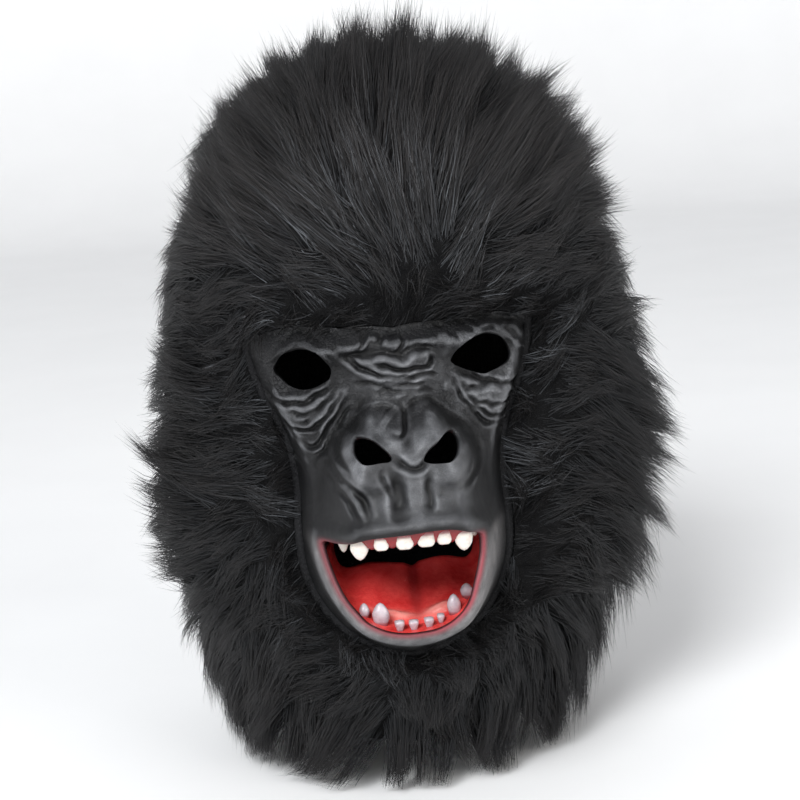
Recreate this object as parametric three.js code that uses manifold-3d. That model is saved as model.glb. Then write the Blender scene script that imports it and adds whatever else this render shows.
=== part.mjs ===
// A full-head gorilla mask: a moulded latex face set into a hood of long black fur.
// Millimetres. +X is the viewer's right, -Y the front and +Z up. The origin is the inside of
// the crown, where the mask rests on a head.
import * as THREE from 'three';
import { ParametricGeometry } from 'three/addons/geometries/ParametricGeometry.js';
import { mergeVertices } from 'three/addons/utils/BufferGeometryUtils.js';
import Module from 'manifold-3d';

const wasm = await Module();
wasm.setup();

// The hollow that takes the head
const HOLLOW_W = 160; // ear to ear
const HOLLOW_D = 200; // brow to back
const HOOD_H = 268; // inside of the crown down to the hem
const EYE_DOWN = 105; // inside of the crown down to the eye line
const JAW_OUT = 32; // how far the hood comes forward round the jaw
const BROW_OUT = 9; // and over the brow

// Walls and fits
const KNIT = 2.5; // knitted backing
const LATEX = 2.6; // moulded face
const CLEAR = 0.3; // between pieces that touch

// The face
const FACE_W = 108; // latex that shows, across the eyes
const FACE_H = 126; // latex that shows, from the brow to under the lower lip
const FACE_RISE = 17; // from the eye line up to the edge of the fur
const FACE_PROUD = 6; // the face in front of the hood that it comes out of
const MUZZLE_OUT = 50; // lips in front of the head
const MUZZLE_BLEND = 6; // how softly the muzzle grows out of the plain face
const EYE_SPACING = 72;
const EYE_W = 25;
const EYE_H = 18;
const EYE_LIFT = 2; // the middle of the eye hole over the eye line
const NOSTRIL_SPACING = 27;
const NOSTRIL_W = 13;
const NOSTRIL_H = 9;
const MOUTH_W = 64;
const MOUTH_H = 43;
const LIP_ROLL = 3; // the lips' rounded edge in front of the muzzle

// Inside the mouth
const GUM_H = 9;
const GUM_D = 7;
const FLOOR_DEEP = 30; // from the lower lip back to the wavy edge
const FLOOR_RISE = 18; // from the bottom of the mouth up to the wavy edge
const FLOOR_BOW = 12; // how far the middle of that edge comes forward of its ends
const FLOOR_SAG = 7;
const INCISOR_W = 6.4;
const INCISOR_H = 5.2;
const CANINE_H = 8.6;
const TOOTH_D = 5;

// The fur
const PILE = 44; // the longest reach of the locks, beside the jaw
const LOCK_L = 62;
const LOCK_W = 25;
const LOCK_D = 13;
const LOCK_SPACING = 43;
const LOCK_TIP = 15; // how far the locks stand out of the underfur
const LOCK_RISE = 4; // the least that a lock stands up
const LOCK_DROOP = 2; // the least and the most that its tip hangs down
const LOCK_DROOP_MOST = 8;
const CLIPPED = 2; // the underfur beside the face
const FUR_GAP = 1; // the fur's edge outside the edge of the latex

// Mesh steps
const AROUND = 24;
const ALONG = 13;
const FACE_COLUMNS = 24;
const FACE_ROWS = 30;
const EDGE_STEPS = 44;
const MOUTH_STEPS = 28;
const LOCK_SIDES = 3;
const LOCK_STEPS = 3;

// Sections of the hollow from the crown to the hem. down is a share of HOOD_H, half of half of
// HOLLOW_W, front and back of half of HOLLOW_D, and pile, the reach of the fur there, of PILE.
const HOOD_SECTIONS = [
  { down: 0, half: 0, front: 0, back: 0, pile: 0.68 },
  { down: 0.018, half: 0.36, front: 0.36, back: 0.38, pile: 0.67 },
  { down: 0.075, half: 0.66, front: 0.66, back: 0.7, pile: 0.64 },
  { down: 0.165, half: 0.87, front: 0.87, back: 0.9, pile: 0.54 },
  { down: 0.28, half: 0.98, front: 0.98, back: 0.99, pile: 0.66 },
  { down: 0.4, half: 1, front: 1, back: 1, pile: 0.75 },
  { down: 0.53, half: 1, front: 0.98, back: 0.95, pile: 0.88 },
  { down: 0.66, half: 0.97, front: 0.94, back: 0.86, pile: 1 },
  { down: 0.79, half: 0.9, front: 0.86, back: 0.76, pile: 0.84 },
  { down: 0.9, half: 0.79, front: 0.76, back: 0.69, pile: 0.64 },
  { down: 1, half: 0.7, front: 0.66, back: 0.64, pile: 0.4 },
];

// Edge of the latex that shows, as a reach from the face's middle at each turn from straight up.
// The reach is a share of half of FACE_W sideways and of half of FACE_H up and down.
const FACE_EDGE = [
  { turn: 0, reach: 1 },
  { turn: 20, reach: 1.08 },
  { turn: 36, reach: 1.25 },
  { turn: 44, reach: 1.34 },
  { turn: 50, reach: 1.39 },
  { turn: 55, reach: 1.27 },
  { turn: 61, reach: 1.1 },
  { turn: 66, reach: 0.96 },
  { turn: 76, reach: 0.82 },
  { turn: 95, reach: 0.77 },
  { turn: 113, reach: 0.85 },
  { turn: 133, reach: 1 },
  { turn: 151, reach: 1.08 },
  { turn: 169, reach: 1.11 },
  { turn: 180, reach: 1.12 },
];

// The open mouth in the same way, with MOUTH_W and MOUTH_H: a flat top and a round bottom.
const MOUTH_EDGE = [
  { turn: 0, reach: 1 },
  { turn: 33, reach: 1.16 },
  { turn: 52, reach: 1.25 },
  { turn: 73, reach: 1.05 },
  { turn: 106, reach: 0.95 },
  { turn: 139, reach: 0.95 },
  { turn: 162, reach: 1 },
  { turn: 180, reach: 1 },
];

// Sections of the muzzle from the bridge of the nose to the chin. down is a share of FACE_H from
// the eye line, out of MUZZLE_OUT, and half of half of FACE_W.
const MUZZLE_SECTIONS = [
  { down: -0.13, out: 0.12, half: 0.3 },
  { down: 0, out: 0.2, half: 0.28 },
  { down: 0.08, out: 0.23, half: 0.3 },
  { down: 0.14, out: 0.4, half: 0.38 },
  { down: 0.2, out: 0.68, half: 0.5 },
  { down: 0.27, out: 0.82, half: 0.6 },
  { down: 0.34, out: 0.84, half: 0.68 },
  { down: 0.42, out: 0.93, half: 0.75 },
  { down: 0.5, out: 0.98, half: 0.8 },
  { down: 0.65, out: 0.96, half: 0.82 },
  { down: 0.78, out: 0.88, half: 0.74 },
  { down: 0.85, out: 0.78, half: 0.62 },
  { down: 0.92, out: 0.62, half: 0.45 },
];

// Raised and sunk forms of the face. side and wide are shares of half of FACE_W, down and tall
// shares of FACE_H from the eye line, and out of MUZZLE_OUT.
const FACE_FORMS = [
  { name: 'brow ridge', side: 0.62, down: -0.095, wide: 0.5, tall: 0.085, out: 0.17 },
  { name: 'brow middle', side: 0, down: -0.06, wide: 0.3, tall: 0.08, out: 0.05 },
  { name: 'eye socket', side: 0.66, down: 0.01, wide: 0.34, tall: 0.1, out: -0.12 },
  { name: 'eye bag', side: 0.68, down: 0.13, wide: 0.32, tall: 0.07, out: 0.05 },
  { name: 'cheek', side: 0.56, down: 0.3, wide: 0.28, tall: 0.13, out: 0.07 },
  { name: 'nose wing', side: 0.32, down: 0.25, wide: 0.24, tall: 0.1, out: 0.15 },
  { name: 'nose top', side: 0.17, down: 0.17, wide: 0.2, tall: 0.07, out: 0.08 },
  { name: 'nose cleft', side: 0, down: 0.21, wide: 0.08, tall: 0.1, out: -0.09 },
  { name: 'nostril bowl', side: 0.25, down: 0.26, wide: 0.16, tall: 0.055, out: -0.1 },
  { name: 'lip groove', side: 0, down: 0.4, wide: 0.07, tall: 0.08, out: -0.04 },
];

// Teeth from the viewer's left. at is a share of half of MOUTH_W, back of the way over the mouth
// floor, wide of INCISOR_W, and tall of INCISOR_H for the incisors and of CANINE_H for the others.
const UPPER_TEETH = [
  { at: -0.81, wide: 0.7, tall: 0.5, canine: true },
  { at: -0.63, wide: 1.02, tall: 1, canine: true },
  { at: -0.37, wide: 0.92, tall: 1, canine: false },
  { at: -0.09, wide: 1.08, tall: 1.05, canine: false },
  { at: 0.17, wide: 1.08, tall: 1.05, canine: false },
  { at: 0.39, wide: 0.92, tall: 1, canine: false },
  { at: 0.63, wide: 1, tall: 0.95, canine: true },
  { at: 0.82, wide: 0.72, tall: 0.5, canine: true },
];
const LOWER_TEETH = [
  { at: -0.44, back: 0.37, wide: 0.66, tall: 0.6, canine: true },
  { at: -0.27, back: 0.33, wide: 1.1, tall: 1, canine: true },
  { at: -0.12, back: 0.24, wide: 0.72, tall: 0.8, canine: false },
  { at: -0.01, back: 0.25, wide: 0.72, tall: 0.8, canine: false },
  { at: 0.11, back: 0.26, wide: 0.72, tall: 0.8, canine: false },
  { at: 0.21, back: 0.29, wide: 0.56, tall: 0.7, canine: false },
  { at: 0.35, back: 0.35, wide: 0.9, tall: 0.9, canine: true },
  { at: 0.54, back: 0.44, wide: 0.85, tall: 0.6, canine: true },
];

const FACE_MIDDLE = FACE_RISE - FACE_H / 2 - EYE_DOWN;
const MOUTH_MIDDLE = -EYE_DOWN - 0.64 * FACE_H;

function smooth(from, to, value) {
  return THREE.MathUtils.smoothstep(value, from, to);
}

// A curve through the rows of a table, by its key column
function curveAt(table, key, column, value) {
  const last = table.length - 1;
  let i = 0;
  while (i < last - 1 && value > table[i + 1][key]) {
    i += 1;
  }
  const slope = (j) => {
    const a = table[Math.max(j - 1, 0)];
    const b = table[Math.min(j + 1, last)];
    return (b[column] - a[column]) / (b[key] - a[key]);
  };
  const span = table[i + 1][key] - table[i][key];
  const s = THREE.MathUtils.clamp((value - table[i][key]) / span, 0, 1);
  const rest = 1 - s;
  return (
    table[i][column] * (1 + 2 * s) * rest * rest +
    table[i + 1][column] * s * s * (3 - 2 * s) +
    slope(i) * span * s * rest * rest -
    slope(i + 1) * span * s * s * rest
  );
}

// The same by the place t, 0 to 1, in the table, as a dome closes on its pole
function rowAt(table, column, t) {
  const last = table.length - 1;
  const i = Math.min(Math.floor(t * last), last - 1);
  const s = t * last - i;
  const before = table[Math.max(i - 1, 0)][column];
  const a = table[i][column];
  const b = table[i + 1][column];
  const after = table[Math.min(i + 2, last)][column];
  const first = (b - before) / 2;
  const second = (after - a) / 2;
  return a + s * (first + s * (3 * (b - a) - 2 * first - second + s * (2 * (a - b) + first + second)));
}

// A round bump, 1 in the middle and 0 from 1 outward
function bump(across, up) {
  const left = Math.max(0, 1 - across * across - up * up);
  return left * left;
}

function solidOf(geometry) {
  geometry.deleteAttribute('normal');
  geometry.deleteAttribute('uv');
  const merged = mergeVertices(geometry);
  const index = merged.index.array;
  const triangles = [];
  for (let i = 0; i < index.length; i += 3) {
    const [a, b, c] = [index[i], index[i + 1], index[i + 2]];
    if (a !== b && b !== c && c !== a) {
      triangles.push(a, b, c);
    }
  }
  const mesh = new wasm.Mesh({
    numProp: 3,
    vertProperties: new Float32Array(merged.attributes.position.array),
    triVerts: new Uint32Array(triangles),
  });
  const solid = new wasm.Manifold(mesh);
  if (solid.volume() > 0) {
    return solid;
  }
  return new wasm.Manifold(new wasm.Mesh({
    numProp: 3,
    vertProperties: mesh.vertProperties,
    triVerts: mesh.triVerts.reverse(),
  }));
}

function biggest(solid) {
  return solid.decompose().reduce((a, b) => (b.volume() > a.volume() ? b : a));
}

function piece(name, solid, material) {
  const { vertProperties, triVerts } = solid.getMesh();
  const geometry = new THREE.BufferGeometry();
  geometry.setAttribute('position', new THREE.BufferAttribute(vertProperties, 3));
  geometry.setIndex(new THREE.BufferAttribute(triVerts, 1));
  geometry.computeVertexNormals();
  const mesh = new THREE.Mesh(geometry, material);
  mesh.name = name;
  return mesh;
}

// A closed skin from whole steps round and along it, each cell split on its shorter diagonal
function skin(point, around, along) {
  const geometry = new ParametricGeometry((a, b, target) => {
    target.copy(point(Math.round(a * around) % around, Math.round(b * along)));
  }, around, along);
  const spots = geometry.attributes.position;
  const corner = (i) => new THREE.Vector3().fromBufferAttribute(spots, i);
  const index = geometry.index.array;
  for (let i = 0; i < index.length; i += 6) {
    const [a, b, d, c] = [index[i], index[i + 1], index[i + 2], index[i + 4]];
    if (corner(a).distanceTo(corner(c)) < corner(b).distanceTo(corner(d))) {
      index.set([a, b, c, a, c, d], i);
    }
  }
  return solidOf(geometry);
}

// A closed sheet between two faces, over columns and rows, thin at its first and last row
function sheet(point, columns, rows) {
  const round = 2 * (columns + 1);
  return skin((i, j) => {
    const outer = i <= columns;
    const column = outer ? i : round - 1 - i;
    const inside = j === 0 || j === rows ? 0.5 : Number(!outer);
    return point(column / columns, j / rows, inside);
  }, round, rows);
}

// An outline in X and Z cut straight back from the front
function cutter(outline) {
  const shape = new THREE.Shape(outline);
  const depth = HOLLOW_D;
  const block = new THREE.ExtrudeGeometry(shape, { depth, bevelEnabled: false });
  block.rotateX(Math.PI / 2);
  return solidOf(block);
}

function edgeReach(table, x, z) {
  const turn = THREE.MathUtils.radToDeg(Math.atan2(Math.abs(x), z));
  return curveAt(table, 'turn', 'reach', turn);
}

// The points of an edge table's outline, grown by some millimetres
function edgeOutline(table, half, tall, middle, grow, steps) {
  return Array.from({ length: steps }, (_, i) => {
    const turn = (2 * Math.PI * i) / steps;
    const reach = edgeReach(table, Math.sin(turn), Math.cos(turn));
    const x = reach * half * Math.sin(turn);
    const z = reach * tall * Math.cos(turn);
    const wider = 1 + grow / Math.hypot(x, z);
    return new THREE.Vector2(x * wider, middle + z * wider);
  });
}

function faceOutline(grow) {
  return edgeOutline(FACE_EDGE, FACE_W / 2, FACE_H / 2, FACE_MIDDLE, grow, EDGE_STEPS);
}

function mouthOutline(grow) {
  return edgeOutline(MOUTH_EDGE, MOUTH_W / 2, MOUTH_H / 2, MOUTH_MIDDLE, grow, MOUTH_STEPS);
}

// How far out a place lies: 0 in the middle of the face or mouth and 1 on its edge
function faceShare(x, z) {
  const across = x / (FACE_W / 2);
  const up = (z - FACE_MIDDLE) / (FACE_H / 2);
  return Math.hypot(across, up) / edgeReach(FACE_EDGE, across, up);
}

function mouthShare(x, z) {
  const across = x / (MOUTH_W / 2);
  const up = (z - MOUTH_MIDDLE) / (MOUTH_H / 2);
  return Math.hypot(across, up) / edgeReach(MOUTH_EDGE, across, up);
}

// The hollow of the hood

// How far the jaw and the brow push the hood forward
function hoodPush(x, z) {
  const fromEye = z + EYE_DOWN;
  const jaw = bump(x / (0.46 * HOLLOW_W), (fromEye + 0.7 * FACE_H) / (0.57 * FACE_H));
  const brow = bump(x / (0.44 * HOLLOW_W), (fromEye - 0.19 * FACE_H) / (0.4 * FACE_H));
  return JAW_OUT * jaw + BROW_OUT * brow;
}

function hoodPlace(turn, t) {
  const x = (rowAt(HOOD_SECTIONS, 'half', t) * HOLLOW_W * Math.sin(turn)) / 2;
  const z = -rowAt(HOOD_SECTIONS, 'down', t) * HOOD_H;
  const ahead = Math.cos(turn);
  const front = (rowAt(HOOD_SECTIONS, 'front', t) * HOLLOW_D) / 2 + hoodPush(x, z);
  const back = (rowAt(HOOD_SECTIONS, 'back', t) * HOLLOW_D) / 2;
  return new THREE.Vector3(x, ahead > 0 ? -front * ahead : -back * ahead, z);
}

function hoodNormal(turn, t) {
  if (t < 0.01) {
    return new THREE.Vector3(0, 0, 1);
  }
  const step = 0.004;
  const round = hoodPlace(turn + step, t).sub(hoodPlace(turn - step, t));
  const down = hoodPlace(turn, Math.min(t + step, 1)).sub(hoodPlace(turn, t - step));
  return down.cross(round).normalize();
}

function hoodPoint(turn, t, out) {
  return hoodPlace(turn, t).addScaledVector(hoodNormal(turn, t), out);
}

// The front of the hollow over a place in X and Z
function hollowFront(x, z) {
  let [low, high] = [0, 1];
  for (let i = 0; i < 24; i += 1) {
    const t = (low + high) / 2;
    if (-rowAt(HOOD_SECTIONS, 'down', t) * HOOD_H > z) {
      low = t;
    } else {
      high = t;
    }
  }
  const half = (rowAt(HOOD_SECTIONS, 'half', low) * HOLLOW_W) / 2;
  const ahead = Math.sqrt(Math.max(0.01, 1 - (x / half) ** 2));
  const front = (rowAt(HOOD_SECTIONS, 'front', low) * HOLLOW_D) / 2;
  return -(front + hoodPush(x, z)) * ahead;
}

function hoodShell() {
  const shell = skin((i, j) => {
    const turn = (2 * Math.PI * i) / AROUND;
    const outside = j <= ALONG;
    const t = (outside ? j : 2 * ALONG + 1 - j) / ALONG;
    return hoodPoint(turn, t, outside ? KNIT : 0);
  }, AROUND, 2 * ALONG + 1);
  return shell.subtract(cutter(faceOutline(CLEAR)));
}

// The latex face

function formsAt(x, z) {
  let out = 0;
  for (const form of FACE_FORMS) {
    const up = (-EYE_DOWN - form.down * FACE_H - z) / (form.tall * FACE_H);
    for (const side of form.side === 0 ? [0] : [-form.side, form.side]) {
      const across = x / (FACE_W / 2) - side;
      out += form.out * MUZZLE_OUT * bump(across / form.wide, up);
    }
  }
  return out;
}

function muzzleAt(x, z) {
  const down = (-EYE_DOWN - z) / FACE_H;
  const half = (curveAt(MUZZLE_SECTIONS, 'down', 'half', down) * FACE_W) / 2;
  const across = 1 - smooth(0.5, 1.12, Math.abs(x) / half);
  return curveAt(MUZZLE_SECTIONS, 'down', 'out', down) * MUZZLE_OUT * across;
}

// How far the face stands in front of the hood, with which it is flush at its edge
function faceLift(x, z) {
  const share = faceShare(x, z);
  const push = hoodPush(x, z);
  const plain = push + FACE_PROUD;
  const muzzle = muzzleAt(x, z);
  const most = (plain + muzzle + Math.hypot(plain - muzzle, MUZZLE_BLEND)) / 2;
  const lip = LIP_ROLL * Math.exp(-(((mouthShare(x, z) - 1.13) / 0.12) ** 2));
  return (most - push + formsAt(x, z) + lip) * (1 - smooth(0.86, 1, share));
}

function faceFront(x, z) {
  return hollowFront(x, z) - KNIT - faceLift(x, z);
}

function faceNormal(x, z) {
  const step = 0.8;
  const tilt = (faceFront(x + step, z) - faceFront(x - step, z)) / (2 * step);
  const lean = (faceFront(x, z + step) - faceFront(x, z - step)) / (2 * step);
  return new THREE.Vector3(tilt, -1, lean).normalize();
}

// A point of the latex, some millimetres into its wall
function facePoint(x, z, deep) {
  const front = new THREE.Vector3(x, faceFront(x, z), z);
  return front.addScaledVector(faceNormal(x, z), -deep);
}

// The place straight behind a point of the face that lies as deep as that from its outside
function behindFace(x, z, deep) {
  return new THREE.Vector3(x, faceFront(x, z) - deep / faceNormal(x, z).y, z);
}

// The face before its holes are cut, with its wall grown by some millimetres each way
function facePatch(grow, columns, rows) {
  const half = 1.12 * (FACE_W / 2);
  const top = FACE_MIDDLE + 0.55 * FACE_H;
  const bottom = FACE_MIDDLE - 0.61 * FACE_H;
  return sheet((a, b, inside) => {
    const x = THREE.MathUtils.lerp(-half, half, a);
    const z = THREE.MathUtils.lerp(top, bottom, b);
    return facePoint(x, z, THREE.MathUtils.lerp(-grow, LATEX + grow, inside));
  }, columns, rows);
}

// An almond with its ends drawn out, tilted by some degrees
function almond(x, z, wide, tall, tilt, steps) {
  const lean = THREE.MathUtils.degToRad(tilt);
  return Array.from({ length: steps }, (_, i) => {
    const turn = (2 * Math.PI * i) / steps;
    const across = (wide / 2) * Math.cos(turn);
    const up = (tall / 2) * Math.sin(turn) * (1 - 0.3 * Math.abs(Math.cos(turn)));
    return new THREE.Vector2(
      x + across * Math.cos(lean) - up * Math.sin(lean),
      z + across * Math.sin(lean) + up * Math.cos(lean),
    );
  });
}

function faceShell() {
  let shell = facePatch(0, FACE_COLUMNS, FACE_ROWS).intersect(cutter(faceOutline(0)));
  for (const side of [-1, 1]) {
    const eyeX = (side * EYE_SPACING) / 2;
    const eye = almond(eyeX, EYE_LIFT - EYE_DOWN, EYE_W, EYE_H, side * 6, 16);
    const nostrilX = (side * NOSTRIL_SPACING) / 2;
    const nostrilZ = -EYE_DOWN - 0.255 * FACE_H;
    const nostril = almond(nostrilX, nostrilZ, NOSTRIL_W, NOSTRIL_H, side * 16, 12);
    shell = shell.subtract(cutter(eye)).subtract(cutter(nostril));
  }
  return shell.subtract(cutter(mouthOutline(0)));
}

// Inside the mouth

const MOUTH_TOP = MOUTH_MIDDLE + MOUTH_H / 2;
const faceRoom = facePatch(CLEAR, FACE_COLUMNS, FACE_ROWS)
  .subtract(cutter(mouthOutline(-CLEAR)));

// The middle line of the gum behind the upper lip, at a share of half of the mouth
function gumPoint(share) {
  const x = (share * MOUTH_W) / 2;
  const z = MOUTH_TOP + 0.45 * GUM_H - 0.2 * GUM_H * share * share;
  return behindFace(x, z, LATEX + 2 * CLEAR + GUM_D / 2);
}

function gumBand(grow) {
  const columns = 14;
  const sides = 8;
  return skin((i, j) => {
    const turn = (2 * Math.PI * i) / sides;
    const end = j === 0 || j === columns ? 0 : 1;
    const point = gumPoint(THREE.MathUtils.lerp(-0.96, 0.96, j / columns));
    point.y += end * (GUM_D / 2 + grow) * Math.sin(turn);
    point.z += end * (GUM_H / 2 + grow) * Math.cos(turn);
    return point;
  }, sides, columns);
}

// The scoop behind the lower lip: across 0 to 1 from corner to corner, back 0 at the lip and 1 at
// the wavy edge
function floorPoint(across, back, deep) {
  const turn = THREE.MathUtils.degToRad(THREE.MathUtils.lerp(-108, 108, across));
  const [sideways, down] = [Math.sin(turn), -Math.cos(turn)];
  const reach = 1.06 * edgeReach(MOUTH_EDGE, sideways, down);
  const lipX = (reach * MOUTH_W * sideways) / 2;
  const lipZ = MOUTH_MIDDLE + (reach * MOUTH_H * down) / 2;
  const lip = behindFace(lipX, lipZ, LATEX + 2 * CLEAR + deep);
  const middle = 1 - (2 * across - 1) ** 2;
  const wave = 0.05 * FLOOR_RISE * Math.cos(6 * Math.PI * (across - 0.5));
  const floorZ = MOUTH_MIDDLE - MOUTH_H / 2;
  const edge = new THREE.Vector3(
    0.86 * lipX,
    hollowFront(0, MOUTH_MIDDLE) + JAW_OUT + MUZZLE_OUT - LATEX - FLOOR_DEEP - FLOOR_BOW * middle,
    THREE.MathUtils.lerp(lipZ, floorZ + FLOOR_RISE, 0.3 + 0.7 * middle) - wave,
  );
  edge.y = Math.max(edge.y, lip.y + 0.5 * FLOOR_DEEP);
  edge.z -= deep;
  const point = lip.lerp(edge, back);
  point.z -= FLOOR_SAG * middle * Math.sin(Math.PI * back);
  return point;
}

function floorScoop(grow, wall) {
  return sheet((a, b, inside) => (
    floorPoint(a, b, THREE.MathUtils.lerp(-grow, wall, inside))
  ), 14, 6);
}

// A rounded peg, narrower at its tip
function toothPeg(root, wide, tall, down, pointed) {
  const peg = new THREE.SphereGeometry(1, 6, 5);
  peg.rotateX(Math.PI / 2);
  const place = peg.attributes.position;
  for (let i = 0; i < place.count; i += 1) {
    const tip = place.getZ(i);
    const narrow = 1 - (pointed ? 0.45 : 0.12) * smooth(-0.2, 1, tip);
    const along = tip > 0 ? tip ** 0.7 : 0.35 * tip;
    place.setXYZ(
      i,
      root.x + (place.getX(i) * narrow * wide) / 2,
      root.y + (place.getY(i) * narrow * TOOTH_D) / 2,
      root.z + along * tall * down,
    );
  }
  return solidOf(peg);
}

function toothSize(tooth) {
  return { wide: tooth.wide * INCISOR_W, tall: tooth.tall * (tooth.canine ? CANINE_H : INCISOR_H) };
}

function upperTooth(tooth) {
  const { wide, tall } = toothSize(tooth);
  const root = gumPoint(tooth.at);
  root.z -= 0.42 * GUM_H;
  root.y += (TOOTH_D - GUM_D) / 2;
  return toothPeg(root, wide, tall, -1, tooth.canine);
}

function lowerTooth(tooth) {
  const { wide, tall } = toothSize(tooth);
  const root = floorPoint(0.5 + 0.42 * tooth.at, tooth.back, 0);
  return toothPeg(root, wide, tall, 1, tooth.canine);
}

// The fur

function noise(seed) {
  const value = Math.sin(seed * 12.9898) * 43758.5453;
  return value - Math.floor(value);
}

// How much of the fur's depth a place has: little beside the face, where it is clipped short
function furShare(point) {
  const ahead = smooth(0, 0.3 * HOLLOW_D, -point.y);
  return 1 - ahead * (1 - smooth(1, 1.75, faceShare(point.x, point.z)));
}

function underfur(point, t) {
  const reach = rowAt(HOOD_SECTIONS, 'pile', t) * PILE;
  const hem = 1 - smooth(0.86, 1, t);
  const longer = Math.max(0, reach - LOCK_TIP - CLIPPED);
  return CLIPPED + longer * furShare(point) * (0.25 + 0.75 * hem);
}

// The way the fur lies: away from the brow over the front, and down the back
function furFlow(point, normal) {
  const brow = new THREE.Vector3(0, -HOLLOW_D / 2, -EYE_DOWN - 0.12 * FACE_H);
  const flow = point.clone().sub(brow).normalize();
  const behind = smooth(-0.25 * HOLLOW_D, 0.4 * HOLLOW_D, point.y);
  flow.z -= THREE.MathUtils.lerp(0.25, 1.7, behind);
  return flow.addScaledVector(normal, -flow.dot(normal)).normalize();
}

function furLock(root, flow, normal, size) {
  const lock = new THREE.ConeGeometry(1, 1, LOCK_SIDES, LOCK_STEPS);
  const side = new THREE.Vector3().crossVectors(flow, normal);
  const run = Math.sqrt(Math.max(0, size.long ** 2 - size.rise ** 2));
  const place = lock.attributes.position;
  for (let i = 0; i < place.count; i += 1) {
    const along = place.getY(i) + 0.5;
    const cone = Math.max(1 - along, 0.001);
    const full = (1 - along ** 2.2) / cone;
    const point = root.clone()
      .addScaledVector(flow, run * along * (0.45 + 0.55 * along))
      .addScaledVector(normal, size.rise * along * (1.55 - 0.55 * along))
      .addScaledVector(side, place.getX(i) * full * size.wide * 0.5)
      .addScaledVector(normal, place.getZ(i) * full * size.deep * 0.5);
    point.z -= size.droop * along * along;
    place.setXYZ(i, point.x, point.y, point.z);
  }
  return solidOf(lock);
}

function locksOf() {
  const locks = [];
  const rows = Math.round((HOOD_H * 1.3) / LOCK_SPACING);
  for (let row = 0; row <= rows; row += 1) {
    const t = 0.06 + (0.94 * row) / rows;
    const round = Math.PI * (hoodPlace(Math.PI / 2, t).x + hoodPlace(Math.PI, t).y);
    const count = Math.round((round * 1.15) / LOCK_SPACING);
    for (let i = 0; i < count; i += 1) {
      const seed = 31 * row + i + 1;
      const shift = 0.5 * (row % 2) + 0.35 * (noise(seed) - 0.5);
      const turn = (2 * Math.PI * (i + shift)) / count;
      const point = hoodPlace(turn, t);
      const normal = hoodNormal(turn, t);
      const share = furShare(point);
      const beside = point.y < 0 ? faceShare(point.x, point.z) : 9;
      if (beside > 1.12) {
        const fur = underfur(point, t);
        const atHem = smooth(0.7, 1, t);
        const reach = rowAt(HOOD_SECTIONS, 'pile', t) * PILE * (0.35 + 0.65 * share);
        const root = point.clone().addScaledVector(normal, KNIT + CLEAR + 0.45 * fur);
        locks.push(furLock(root, furFlow(point, normal), normal, {
          long: LOCK_L * (0.55 + 0.45 * share) * (0.9 + 0.2 * noise(seed + 7)) * (1 - 0.6 * atHem),
          wide: LOCK_W * (0.6 + 0.4 * share),
          deep: LOCK_D * (0.45 + 0.55 * share),
          rise: Math.max(LOCK_RISE, reach * (0.9 + 0.2 * noise(seed + 13)) - 0.45 * fur),
          droop: THREE.MathUtils.lerp(LOCK_DROOP, LOCK_DROOP_MOST, noise(seed + 29)) * (1 - atHem),
        }));
      }
    }
  }
  return locks;
}

// The room that the hood and the neck take, which the fur stays out of
function hoodRoom() {
  return skin((i, j) => {
    const turn = (2 * Math.PI * i) / AROUND;
    const point = hoodPoint(turn, Math.min(j / ALONG, 1), KNIT + CLEAR);
    if (j > ALONG) {
      point.z = -HOOD_H - LOCK_L;
    }
    if (j === ALONG + 2) {
      point.set(0, 0, -HOOD_H - LOCK_L);
    }
    return point;
  }, AROUND, ALONG + 2);
}

function furCoat() {
  const coat = skin((i, j) => {
    const turn = (2 * Math.PI * i) / AROUND;
    const outside = j <= ALONG;
    const t = (outside ? j : 2 * ALONG + 1 - j) / ALONG;
    const out = outside ? underfur(hoodPlace(turn, t), t) : 0;
    return hoodPoint(turn, t, KNIT + CLEAR + out);
  }, AROUND, 2 * ALONG + 1);
  let whole = coat;
  for (const lock of locksOf()) {
    whole = whole.add(lock);
  }
  return biggest(whole.subtract(hoodRoom()).subtract(cutter(faceOutline(FUR_GAP))));
}

// The mask put together

const furMaterial = new THREE.MeshStandardMaterial({ color: 0x0d0e11, roughness: 0.9 });
const knitMaterial = new THREE.MeshStandardMaterial({ color: 0x141416, roughness: 1 });
const latexMaterial = new THREE.MeshStandardMaterial({ color: 0x1d1d20, roughness: 0.55 });
const redMaterial = new THREE.MeshStandardMaterial({ color: 0xb3121f, roughness: 0.25 });
const toothMaterial = new THREE.MeshStandardMaterial({ color: 0xe8e4dc, roughness: 0.35 });

const mask = new THREE.Group();
mask.name = 'gorilla_mask';
mask.add(piece('hood', hoodShell(), knitMaterial));
mask.add(piece('fur', furCoat(), furMaterial));
mask.add(piece('face', biggest(faceShell()), latexMaterial));
mask.add(piece('upper_gum', biggest(gumBand(0).subtract(faceRoom)), redMaterial));
mask.add(piece('mouth_floor', biggest(floorScoop(0, LATEX).subtract(faceRoom)), redMaterial));

const gumRoom = gumBand(CLEAR);
const floorRoom = floorScoop(CLEAR, LATEX + CLEAR);
UPPER_TEETH.forEach((tooth, i) => {
  const solid = biggest(upperTooth(tooth).subtract(gumRoom).subtract(faceRoom));
  mask.add(piece(`upper_tooth_${i + 1}`, solid, toothMaterial));
});
LOWER_TEETH.forEach((tooth, i) => {
  const solid = biggest(lowerTooth(tooth).subtract(floorRoom).subtract(faceRoom));
  mask.add(piece(`lower_tooth_${i + 1}`, solid, toothMaterial));
});

export default mask;
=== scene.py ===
import math

import bmesh
import bpy
import numpy as np
from mathutils import Matrix, Vector


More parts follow.
